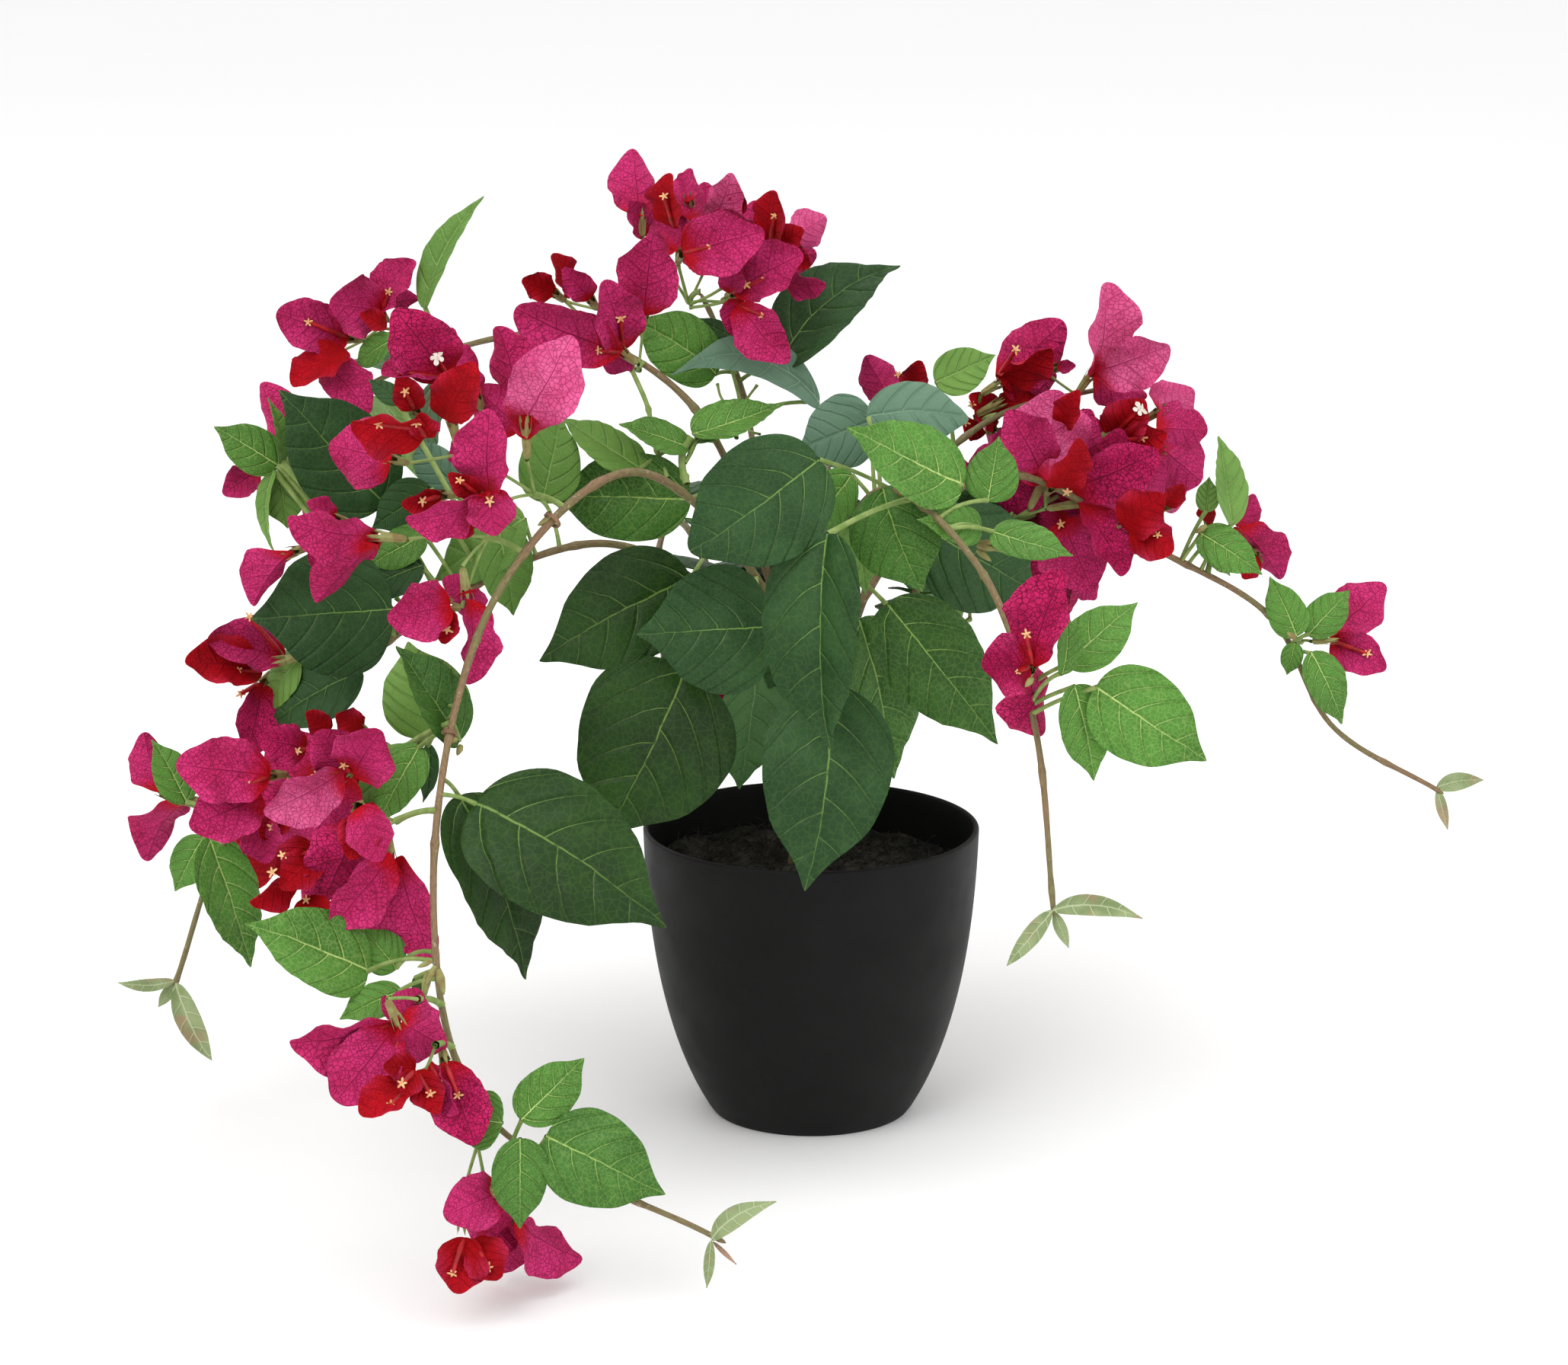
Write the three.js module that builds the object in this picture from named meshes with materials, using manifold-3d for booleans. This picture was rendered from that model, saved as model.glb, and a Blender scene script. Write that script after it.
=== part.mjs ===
// Artificial potted bougainvillea: a matt black pot, a moss fill, one short main stem, ten trailing stems, and the
// masses of leaves and blossom that they carry.
//
// Millimetres. +Z is up, +X the plant's right and +Y its back, seen from the front. The origin is the centre of
// the pot's flat underside. A place on a stem is written as [reach, heading, height]: its distance from the pot's
// upright axis, its compass heading in degrees from +X towards +Y, and its height above the underside.

import * as THREE from "three";
import { mergeVertices } from "three/addons/utils/BufferGeometryUtils.js";
import Module from "manifold-3d";

const wasm = await Module();
wasm.setup();

// ------------------------------------------------------------------------------------------ driving dimensions

const GAP = 0.3; // clearance between a piece and its neighbour
const MASS_GAP = 0.6; // clearance that a mass leaves along its radius, a little under this square to its skin

const POT = {
  height: 130,
  footRadius: 44.5,
  bellyRadius: 72, // where the side's tangents at the foot and at the rim cross
  bellyHeight: 42,
  rimRadius: 75,
  wall: 2.6,
  floor: 4,
  segments: 26,
  outerSteps: 8,
  innerSteps: 6,
};

const FILL = {
  level: 110, // height of the moss at the wall
  crown: 4, // how much higher the moss lies at the main stem
  seatRadius: 17, // flat seat that the main stem stands on
  slack: 0.6, // room between the moss and the wall, beyond the gap
  steps: 4,
  lump: 1.6, // height of a hump in the moss, and how often the humps come round
  humps: 5,
  swells: 2,
};

const MAIN_STEM = {
  flareRadius: 14,
  flareHeight: 14,
  neckRadius: 9.5,
  topRadius: 7.5,
  top: 172,
  flareSteps: 4,
  segments: 14,
};

const STEM_START_RADIUS = 2.7;
const STEM_TIP_RADIUS = 1.2;
const STEM_SIDES = 5;
const STEM_STEP = 20; // length of a stem between two rings
const STEM_FEWEST_STEPS = 3;

// Each stem runs from the main stem through its places. A span is a piece of it, as shares of its length, and
// what lies between two spans runs hidden in a mass.
const STEMS = {
  front_left: {
    places: [[0, -130, 132], [27, -130, 235], [95, -142, 301], [172, -139, 261], [247, -128, 157],
      [270, -119, 80], [268, -98, 37]],
    spans: [[0, 0.29], [0.29, 0.78], [0.86, 1]],
  },
  left: {
    places: [[0, 180, 152], [24, -167, 215], [92, -167, 262], [198, -171, 211], [255, -173, 138],
      [281, -174, 67]],
    spans: [[0, 0.6], [0.9, 1]],
  },
  back_left: {
    places: [[0, 130, 140], [31, 127, 236], [78, 135, 311], [135, 146, 337], [225, 152, 310], [273, 154, 268]],
    spans: [[0, 0.42], [0.6, 1]],
  },
  top: {
    places: [[0, 95, 162], [13, 84, 205], [44, 112, 240], [86, 112, 315], [125, 119, 372]],
    spans: [[0, 0.86]],
  },
  back_right: {
    places: [[0, 50, 152], [35, 52, 221], [76, 52, 270], [125, 47, 297], [180, 40, 306]],
    spans: [[0, 0.9]],
  },
  front_right: {
    places: [[0, -70, 160], [22, -73, 248], [60, -59, 292], [122, -55, 267], [170, -58, 213], [200, -61, 144]],
    spans: [[0, 0.69], [0.78, 1]],
  },
  right: {
    places: [[0, 10, 126], [15, 12, 180], [24, 24, 228], [90, 27, 280], [172, 22, 239], [222, 19, 207],
      [250, 17, 156], [297, 14, 126]],
    spans: [[0, 0.46], [0.62, 0.76], [0.83, 1]],
  },
  rear: {
    places: [[0, 90, 134], [34, 88, 226], [92, 86, 272], [158, 87, 246], [205, 89, 168], [226, 91, 96]],
    spans: [[0, 0.7]],
  },
  rear_left: {
    places: [[0, 125, 128], [36, 150, 206], [92, 128, 250], [150, 118, 226], [186, 112, 160]],
    spans: [[0, 0.82]],
  },
  rear_right: {
    places: [[0, 45, 122], [36, 30, 190], [88, 48, 248], [146, 60, 228], [186, 68, 166]],
    spans: [[0, 0.82]],
  },
};

// Each mass is an uneven body: its middle [x, y, z], its half sizes [along, through, across], and its lean, the
// angle in degrees from +X up to its long axis. A turn swings it round the upright axis. Earlier rows are whole,
// and later ones are cut back from them.
const LEAF = "leaf";
const BLOSSOM = "blossom";
const TIP = "tip";
const MASSES = [
  // leaves round the foot, over the pot
  ["crown_leaves", LEAF, [28, -66, 285], [86, 24, 28], -10],
  ["front_leaves", LEAF, [4, -90, 210], [88, 16, 27], 90],
  ["front_left_leaves", LEAF, [-63, -66, 190], [54, 17, 32], 64],
  ["left_skirt_leaves", LEAF, [-64, -46, 238], [60, 24, 28], 8, 22],
  ["right_skirt_leaves", LEAF, [42, -38, 210], [58, 17, 25], -52, -28],
  ["left_heart_leaves", LEAF, [-78, 24, 279], [48, 22, 22], 10, 30],
  ["rear_left_leaves", LEAF, [-62, 82, 212], [46, 20, 52], 0, 40],
  ["rear_right_leaves", LEAF, [60, 80, 206], [46, 20, 52], 0, -40],
  // top
  ["top_blossom", BLOSSOM, [-45, 106, 366], [64, 42, 37], -38],
  ["second_blossom", BLOSSOM, [-97, 82, 346], [37, 30, 28], 10],
  ["top_leaves", LEAF, [-8, 76, 334], [54, 22, 22], 22],
  // the long stem to the front left
  ["front_left_high_blossom", BLOSSOM, [-144, -88, 328], [58, 36, 38], -35],
  ["front_left_hanging_blossom", BLOSSOM, [-158, -109, 252], [48, 25, 22], -35],
  ["front_left_middle_blossom", BLOSSOM, [-182, -182, 153], [46, 34, 27], -38],
  ["front_left_big_blossom", BLOSSOM, [-214, -137, 184], [50, 37, 32], -14],
  ["front_left_middle_leaves", LEAF, [-112, -172, 163], [58, 15, 29], -32],
  ["front_left_low_blossom", BLOSSOM, [-165, -225, 95], [43, 32, 28], -28],
  ["front_left_low_leaves", LEAF, [-188, -206, 129], [39, 18, 19], 5],
  ["front_left_end_leaves", LEAF, [-107, -249, 73], [52, 17, 27], -25],
  ["front_left_end_blossom", BLOSSOM, [-119, -252, 36], [34, 24, 22], -10],
  ["front_left_tip", TIP, [-29, -266, 38], [21, 8, 13], 20],
  // the stem to the left
  ["left_middle_leaves", LEAF, [-198, -45, 218], [50, 22, 29], -10],
  ["left_high_leaves", LEAF, [-174, -24, 280], [58, 20, 34], -40],
  ["left_blossom", BLOSSOM, [-246, -36, 197], [46, 22, 19], -75],
  ["left_end_spray", BLOSSOM, [-262, -31, 128], [60, 20, 25], -72],
  ["left_tip", TIP, [-284, -30, 53], [28, 9, 18], -60],
  // the stem to the back left
  ["back_left_blossom", BLOSSOM, [-209, 102, 337], [38, 30, 29], 20],
  ["back_left_leaves", LEAF, [-250, 116, 270], [41, 26, 22], -80],
  ["back_left_spike", TIP, [-168, 92, 356], [42, 6, 6], 62],
  // the stems to the back right and right
  ["right_blossom", BLOSSOM, [128, 62, 269], [52, 42, 43], -20],
  ["right_high_blossom", BLOSSOM, [124, 106, 324], [43, 32, 28], 0],
  ["right_leaves", LEAF, [194, 72, 257], [35, 20, 21], -60],
  ["right_end_spray", LEAF, [234, 74, 194], [34, 22, 28], -20],
  ["right_tip", TIP, [299, 73, 121], [18, 8, 14], -50],
  // the stem to the front right
  ["front_right_blossom", BLOSSOM, [86, -130, 239], [36, 22, 18], -75],
  ["front_right_leaves", LEAF, [130, -128, 222], [40, 12, 30], -40],
  ["front_right_tip", TIP, [104, -176, 137], [30, 9, 12], 10],
  // the three stems that trail behind the pot
  ["rear_blossom", BLOSSOM, [2, 198, 174], [68, 27, 30], -75, 90],
  ["rear_left_spray", LEAF, [-72, 166, 176], [46, 24, 28], -70, 100],
  ["rear_right_spray", BLOSSOM, [66, 166, 180], [46, 24, 28], -70, 80],
];

// How each kind of mass is made: how many points of leaves or bracts it has, how far they stand out, and how far
// the skin between them dips, as shares of its own radius.
const KINDS = {
  [LEAF]: { points: 6, reach: 0.34, dip: 0.2 },
  [BLOSSOM]: { points: 8, reach: 0.28, dip: 0.16 },
  [TIP]: { points: 4, reach: 0.3, dip: 0.14 },
};
const FINE_FROM = 52; // half length from which a mass has the finer skin
const POINT_SHARPNESS = 10; // the power that narrows a point
const POINT_SPREAD = 0.8; // how far the points lie off the mass's own plane
const POINT_JITTER = 0.6; // how far a point lies off its even place round the mass, in shares of their spacing

// ------------------------------------------------------------------------------------------------- finishes

const finish = (color, roughness) => new THREE.MeshStandardMaterial({ color, roughness, metalness: 0 });

const MATERIALS = {
  pot: finish(0x2a2a2b, 0.62),
  moss: finish(0x171614, 0.95),
  bark: finish(0x7d6a52, 0.7),
  [LEAF]: finish(0x3a6b35, 0.55),
  [BLOSSOM]: finish(0xb52f63, 0.7),
  [TIP]: finish(0xb4c48c, 0.6),
};

// ------------------------------------------------------------------------------------------------- solids

// A manifold solid of a closed geometry.
function solid(geometry) {
  const bare = geometry.clone();
  bare.deleteAttribute("normal");
  bare.deleteAttribute("uv");
  const welded = mergeVertices(bare, 1e-4);
  const vertProperties = new Float32Array(welded.attributes.position.array);
  const triVerts = new Uint32Array(welded.index.array);
  return new wasm.Manifold(new wasm.Mesh({ numProp: 3, vertProperties, triVerts }));
}

// The geometry of the largest single body in a manifold solid.
function geometryOf(body) {
  const largest = body.decompose().sort((a, b) => b.volume() - a.volume())[0];
  const mesh = largest.getMesh();
  const geometry = new THREE.BufferGeometry();
  geometry.setAttribute("position", new THREE.BufferAttribute(mesh.vertProperties, 3));
  geometry.setIndex(new THREE.BufferAttribute(mesh.triVerts, 1));
  geometry.computeVertexNormals();
  return geometry;
}

// Repeatable numbers from 0 to 1, from a name.
function dice(name) {
  let state = [...name].reduce((sum, letter) => (sum * 31 + letter.charCodeAt(0)) >>> 0, 7);
  return () => {
    state = (state * 1664525 + 1013904223) >>> 0;
    return state / 2 ** 32;
  };
}

// ------------------------------------------------------------------------------------------------- the pot

// The pot's side is one quadratic arc from its foot to its rim.
const SIDE = new THREE.QuadraticBezierCurve(
  new THREE.Vector2(POT.footRadius, 0),
  new THREE.Vector2(POT.bellyRadius, POT.bellyHeight),
  new THREE.Vector2(POT.rimRadius, POT.height),
);

// The share of the arc that lies below a height, from z = 2 t (1 - t) belly + t t height.
function shareAt(height) {
  const square = POT.height - 2 * POT.bellyHeight;
  return (Math.sqrt(POT.bellyHeight ** 2 + square * height) - POT.bellyHeight) / square;
}

// Points up the side between two heights, drawn in by a distance.
function sidePoints(fromHeight, toHeight, inset, steps) {
  const from = shareAt(fromHeight);
  const to = shareAt(toHeight);
  return Array.from({ length: steps + 1 }, (_, i) => {
    const point = SIDE.getPoint(from + ((to - from) * i) / steps);
    return new THREE.Vector2(point.x - inset, point.y);
  });
}

function turned(points, segments) {
  return new THREE.LatheGeometry(points, segments).rotateX(Math.PI / 2);
}

function pot() {
  const { height, wall, floor, rimRadius, segments } = POT;
  const lip = wall / 2;
  const lipPoints = [0.25, 0.5, 0.75].map((turn) => new THREE.Vector2(
    rimRadius - lip + lip * Math.cos(turn * Math.PI),
    height - lip + lip * Math.sin(turn * Math.PI),
  ));
  return turned([
    new THREE.Vector2(0, 0),
    ...sidePoints(0, height - lip, 0, POT.outerSteps),
    ...lipPoints,
    ...sidePoints(height - lip, floor, wall, POT.innerSteps),
    new THREE.Vector2(0, floor),
  ], segments);
}

// The space that the pot's wall takes, with a margin, which nothing else may enter.
function potKeepOut(margin) {
  return turned([
    new THREE.Vector2(0, 0),
    ...sidePoints(0, POT.height, -margin, POT.outerSteps),
    new THREE.Vector2(POT.rimRadius + margin, POT.height + margin),
    new THREE.Vector2(0, POT.height + margin),
  ], POT.segments);
}

function fill() {
  const bottom = POT.floor + GAP;
  const side = sidePoints(bottom, FILL.level, POT.wall + GAP + FILL.slack, FILL.steps);
  const edge = side[side.length - 1].x;
  const seatLevel = FILL.level + FILL.crown;
  const middle = (edge + FILL.seatRadius) / 2;
  const geometry = turned([
    new THREE.Vector2(0, bottom),
    ...side,
    new THREE.Vector2(middle, FILL.level + FILL.crown / 2),
    new THREE.Vector2(FILL.seatRadius, seatLevel),
    new THREE.Vector2(0, seatLevel),
  ], POT.segments);
  const position = geometry.attributes.position;
  for (let i = 0; i < position.count; i += 1) {
    const reach = Math.hypot(position.getX(i), position.getY(i));
    if (position.getZ(i) > FILL.level && Math.abs(reach - middle) < GAP) {
      const heading = Math.atan2(position.getY(i), position.getX(i));
      const hump = Math.sin(FILL.humps * heading) * Math.cos(FILL.swells * heading);
      position.setZ(i, position.getZ(i) + FILL.lump * hump);
    }
  }
  return geometry;
}

function mainStem(margin) {
  const foot = FILL.level + FILL.crown + GAP - margin;
  const { flareRadius, flareHeight, neckRadius, topRadius, top } = MAIN_STEM;
  const flare = new THREE.QuadraticBezierCurve(
    new THREE.Vector2(flareRadius + margin, foot),
    new THREE.Vector2(neckRadius + margin, foot + flareHeight / 4),
    new THREE.Vector2(neckRadius + margin, foot + flareHeight),
  );
  return turned([
    new THREE.Vector2(0, foot),
    ...flare.getPoints(MAIN_STEM.flareSteps),
    new THREE.Vector2(topRadius + margin, top + margin),
    new THREE.Vector2(0, top + margin),
  ], MAIN_STEM.segments);
}

// ------------------------------------------------------------------------------------------------- stems

function place([reach, heading, height]) {
  const angle = THREE.MathUtils.degToRad(heading);
  return new THREE.Vector3(reach * Math.cos(angle), reach * Math.sin(angle), height);
}

// A tapering limb along a share of a curve, thicker all round and at its ends by a margin.
function limb(curve, from, to, margin) {
  const length = curve.getLength();
  const start = from + (GAP / 2 - margin) / length;
  const end = to - (GAP / 2 - margin) / length;
  const steps = Math.max(STEM_FEWEST_STEPS, Math.round(((to - from) * length) / STEM_STEP));
  const up = new THREE.Vector3(0, 0, 1);
  const position = [];
  const index = [];
  for (let i = 0; i <= steps; i += 1) {
    const share = THREE.MathUtils.clamp(start + ((end - start) * i) / steps, 0, 1);
    const centre = curve.getPointAt(share);
    const along = curve.getTangentAt(share);
    const side = new THREE.Vector3().crossVectors(along, up).normalize();
    const over = new THREE.Vector3().crossVectors(side, along);
    const radius = THREE.MathUtils.lerp(STEM_START_RADIUS, STEM_TIP_RADIUS, share) + margin;
    for (let k = 0; k < STEM_SIDES; k += 1) {
      const angle = (2 * Math.PI * k) / STEM_SIDES;
      const point = centre.clone()
        .addScaledVector(side, radius * Math.cos(angle))
        .addScaledVector(over, radius * Math.sin(angle));
      position.push(...point);
    }
  }
  for (let i = 0; i < steps; i += 1) {
    for (let k = 0; k < STEM_SIDES; k += 1) {
      const a = i * STEM_SIDES + k;
      const b = i * STEM_SIDES + ((k + 1) % STEM_SIDES);
      index.push(a, a + STEM_SIDES, b, b, a + STEM_SIDES, b + STEM_SIDES);
    }
  }
  const last = steps * STEM_SIDES;
  for (let k = 1; k < STEM_SIDES - 1; k += 1) {
    index.push(0, k, k + 1);
    index.push(last, last + k + 1, last + k);
  }
  const geometry = new THREE.BufferGeometry();
  geometry.setAttribute("position", new THREE.Float32BufferAttribute(position, 3));
  geometry.setIndex(index);
  return geometry;
}

// ------------------------------------------------------------------------------------------------- masses

// An uneven body: a ball whose skin dips between the points of its leaves or bracts.
function uneven(name, kind, middle, halves, lean, turn, margin) {
  const { points, reach, dip } = KINDS[kind];
  const detail = Math.max(...halves) >= FINE_FROM ? 2 : 1;
  const roll = dice(name);
  const tips = Array.from({ length: points }, (_, i) => {
    const round = (2 * Math.PI * (i + POINT_JITTER * roll())) / points;
    return new THREE.Vector3(Math.cos(round), POINT_SPREAD * (roll() - 0.5), Math.sin(round)).normalize();
  });
  const geometry = new THREE.IcosahedronGeometry(1, detail);
  const position = geometry.attributes.position;
  const point = new THREE.Vector3();
  for (let i = 0; i < position.count; i += 1) {
    point.fromBufferAttribute(position, i).normalize();
    const nearest = Math.max(...tips.map((tip) => point.dot(tip)), 0);
    const radius = 1 - dip + reach * nearest ** POINT_SHARPNESS;
    point.multiplyScalar(radius);
    point.set(point.x * (halves[0] + margin), point.y * (halves[1] + margin), point.z * (halves[2] + margin));
    position.setXYZ(i, point.x, point.y, point.z);
  }
  geometry.rotateY(-THREE.MathUtils.degToRad(lean));
  geometry.rotateZ(THREE.MathUtils.degToRad(turn));
  geometry.translate(...middle);
  return geometry;
}

// ------------------------------------------------------------------------------------------------- the plant

const group = new THREE.Group();

function addPiece(name, geometry, material) {
  const mesh = new THREE.Mesh(geometry, material);
  mesh.name = name;
  group.add(mesh);
}

addPiece("pot", pot(), MATERIALS.pot);
addPiece("moss_fill", fill(), MATERIALS.moss);
addPiece("main_stem", mainStem(0), MATERIALS.bark);

let occupied = solid(potKeepOut(MASS_GAP)).add(solid(mainStem(GAP)));

for (const [name, { places, spans }] of Object.entries(STEMS)) {
  const curve = new THREE.CatmullRomCurve3(places.map(place));
  spans.forEach(([from, to], i) => {
    const piece = solid(limb(curve, from, to, 0)).subtract(solid(mainStem(GAP)));
    addPiece(`${name}_stem_${i + 1}`, geometryOf(piece), MATERIALS.bark);
    occupied = occupied.add(solid(limb(curve, from, to, GAP)));
  });
}

for (const [name, kind, middle, halves, lean, turn = 0] of MASSES) {
  const piece = solid(uneven(name, kind, middle, halves, lean, turn, 0)).subtract(occupied);
  addPiece(name, geometryOf(piece), MATERIALS[kind]);
  occupied = occupied.add(solid(uneven(name, kind, middle, halves, lean, turn, MASS_GAP)));
}

export default group;
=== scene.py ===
"""An artificial bougainvillea in a matt black pot, with trailing stems, silk leaves and papery bracts.

Lengths are in millimetres until a mesh is made. +X is the plant's right, +Y its back and +Z is up.
"""

import math
from collections import namedtuple
from random import Random

import bpy
import numpy as np
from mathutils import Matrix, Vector


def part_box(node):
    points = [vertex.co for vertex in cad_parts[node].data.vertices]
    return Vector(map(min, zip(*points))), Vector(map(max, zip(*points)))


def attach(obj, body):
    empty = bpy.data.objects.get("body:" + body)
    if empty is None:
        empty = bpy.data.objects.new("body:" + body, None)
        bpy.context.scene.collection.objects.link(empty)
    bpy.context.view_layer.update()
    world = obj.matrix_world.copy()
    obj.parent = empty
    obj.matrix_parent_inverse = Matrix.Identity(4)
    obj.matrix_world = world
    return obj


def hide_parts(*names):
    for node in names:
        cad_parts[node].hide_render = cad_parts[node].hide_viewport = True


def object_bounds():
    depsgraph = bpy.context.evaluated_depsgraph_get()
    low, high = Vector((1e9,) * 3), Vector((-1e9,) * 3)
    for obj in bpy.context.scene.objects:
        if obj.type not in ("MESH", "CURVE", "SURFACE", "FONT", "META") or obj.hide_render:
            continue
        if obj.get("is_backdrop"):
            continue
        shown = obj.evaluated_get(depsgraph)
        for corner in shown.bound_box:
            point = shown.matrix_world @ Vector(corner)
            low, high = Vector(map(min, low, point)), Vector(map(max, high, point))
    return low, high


bl_info = {
    "name": "Artificial Bougainvillea",
    "version": (1, 0, 0),
    "blender": (4, 5, 0),
    "location": "3D View > Sidebar > Bougainvillea",
    "description": "Builds a potted silk bougainvillea piece by piece",
    "category": "Object",
}

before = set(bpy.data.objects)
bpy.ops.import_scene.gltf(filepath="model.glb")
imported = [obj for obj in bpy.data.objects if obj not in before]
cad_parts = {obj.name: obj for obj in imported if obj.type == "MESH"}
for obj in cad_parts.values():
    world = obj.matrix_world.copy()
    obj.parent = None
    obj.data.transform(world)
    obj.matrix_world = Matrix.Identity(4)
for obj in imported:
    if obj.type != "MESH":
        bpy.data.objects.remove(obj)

MM = 1000.0
UP = np.array([0.0, 0.0, 1.0])
GOLDEN_ANGLE = math.radians(137.5)
ANY_TURN = 6.3  # about a full turn in radians, for random turns
BAKE_MAP = "OFBake"
BLADE_MAP = "Blade"
BAKE_GAP = 0.7  # room between two islands of the bake map, mm on the plant
SHELF_GROWTH = 1.01  # how much the bake map's square grows when its islands don't fit
CELLS = 16  # blades to a row of the blade map, each in a cell of its own
CELL_SHARE = 0.8  # part of its cell that a blade takes
CELL_FOOT = 0.1  # where a blade's foot lies in its cell
CELL_WIDTH = 0.86  # how long a blade has to be for its width, to be fitted to its cell by its length

CAMERA_PITCH = math.radians(14)
CAMERA_TARGET = np.array([-12.0, 0.0, 195.0])
CAMERA_DISTANCE = 1970.0
CAMERA_LENS = 102.9
SENSOR_WIDTH = 36.0
FRAME_WIDTH = 2059
FRAME_HEIGHT = 1792
FOCAL = FRAME_WIDTH * CAMERA_LENS / SENSOR_WIDTH
LOOK = np.array([0.0, math.cos(CAMERA_PITCH), -math.sin(CAMERA_PITCH)])
LOOK_RIGHT = np.array([1.0, 0.0, 0.0])
LOOK_UP = np.cross(LOOK_RIGHT, LOOK)
CAMERA_PLACE = CAMERA_TARGET - CAMERA_DISTANCE * LOOK

COVER_CELL = 12  # pixels of the camera's frame to a cell of the cover
COVER = np.full((FRAME_HEIGHT // COVER_CELL + 1, FRAME_WIDTH // COVER_CELL + 1), np.inf)  # nearest depths
NEIGHBOURS = [(i, j) for i in (-1, 0, 1) for j in (-1, 0, 1)]
HIDDEN_GAP = 4.0  # how far behind the cover a hidden point lies at the least
HIDDEN_SHARE = 0.97  # share of its points that a hidden blade has hidden at the least

VEIN_PAIRS = 5.2  # side veins to a side of a leaf
# How far a side vein runs on along the leaf: by its distance from the midrib, and by the square of that.
VEIN_SWEEP = (0.42, 1.9)
VEIN_STAGGER = 0.035  # how far up or down from the middle of its pair a side vein leaves the midrib

POT_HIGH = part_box("pot")[1]
POT_HEIGHT = POT_HIGH.z * MM
POT_RIM = POT_HIGH.x * MM
POT_FOOT = 44.5
POT_BELLY = (72.0, 42.0)  # where the side's tangents at the foot and at the rim cross
POT_WALL = 2.6
POT_FLOOR = 4.0
POT_SEGMENTS = 128
POT_DISH = 2.0  # how far the underside is hollowed within its foot ring
POT_RING = 5.0  # width of the foot ring
POT_CENTRE = 0.5  # radius at which the turned faces end at the axis
POT_MIDDLE = 30.0
POT_ROOM = 6.0  # kept free round the pot

MOSS_LEVEL = 110.0
MOSS_CROWN = 4.0  # how much higher the moss is round the trunk
MOSS_CROWN_REACH = 30.0
MOSS_GAP = 1.4  # between the moss and the pot's wall
MOSS_RINGS = 40
MOSS_AROUND = 132
MOSS_MEAN = 0.6  # radius of the ring whose girth the moss has on the bake map, as a share of its edge's
MOSS_WAVES = 26
MOSS_FIBRES = 1500

TRUNK_FOOT = 114.0
TRUNK_TOP = 172.0
TRUNK_RADIUS = 7.6
TRUNK_TAPER = 1.2  # how much thicker the trunk is at its foot
TRUNK_FLARE = 1.0  # how much further the very foot spreads
TRUNK_CAP = 2.4  # height of the rounded end on the trunk
TRUNK_SIDES = 63
TRUNK_WIRES = 9  # wires that show as ribs round the trunk

# Each stem runs from the trunk through its places: reach from the axis, heading in degrees and height.
STEMS = {
    "front_left": ((0, -130, 132), (27, -130, 235), (95, -142, 301), (172, -139, 261), (247, -128, 157),
                   (270, -119, 80), (268, -98, 37)),
    "left": ((0, 180, 152), (24, -167, 215), (92, -167, 262), (198, -171, 211), (255, -173, 138),
             (281, -174, 67)),
    "back_left": ((0, 130, 140), (31, 127, 236), (78, 135, 311), (135, 146, 337), (225, 152, 310),
                  (273, 154, 268)),
    "top": ((0, 95, 162), (13, 84, 205), (44, 112, 240), (86, 112, 315), (125, 119, 372)),
    "back_right": ((0, 50, 152), (35, 52, 221), (76, 52, 270), (125, 47, 297), (180, 40, 306)),
    "front_right": ((0, -70, 160), (22, -73, 248), (60, -59, 292), (122, -55, 267), (170, -58, 213),
                    (200, -61, 144)),
    "right": ((0, 10, 126), (15, 12, 180), (24, 24, 228), (90, 27, 280), (172, 22, 239), (222, 19, 207),
              (250, 17, 156), (297, 14, 126)),
    "rear": ((0, 90, 134), (34, 88, 226), (92, 86, 272), (158, 87, 246), (205, 89, 168), (226, 91, 96)),
    "rear_left": ((0, 125, 128), (36, 150, 206), (92, 128, 250), (150, 118, 226), (186, 112, 160)),
    "rear_right": ((0, 45, 122), (36, 30, 190), (88, 48, 248), (146, 60, 228), (186, 68, 166)),
}
STEM_PIECES = {
    "front_left": 3, "left": 2, "back_left": 2, "top": 1, "back_right": 1, "front_right": 2, "right": 3,
    "rear": 1, "rear_left": 1, "rear_right": 1,
}
STEM_STEP = 3.5
CURVE_POINTS = 24  # points to a stretch of a curve, before they are set evenly
BEND_PLACE = 0.45  # how far along a bent line bends
FIRST_JOINT = 12  # points of a stem before anything can grow on it
STEM_SIDES = 12
JOINT_SWELL = 0.3  # how much thicker a stem is at its joints
JOINT_REACH = 2.4  # how far along the stem a joint swells
TOP_STEM_SHARE = 0.9  # the rest of the top stem is its spray's stalks

ROOM_MARGIN = np.array([6.0, 6.0, 12.0])  # kept free of grown twigs inside the CAD model's box
CAD_LOW, CAD_HIGH = (np.array(corner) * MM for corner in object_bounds())
ROOM_LOW, ROOM_HIGH = CAD_LOW + ROOM_MARGIN, CAD_HIGH - ROOM_MARGIN

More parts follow.
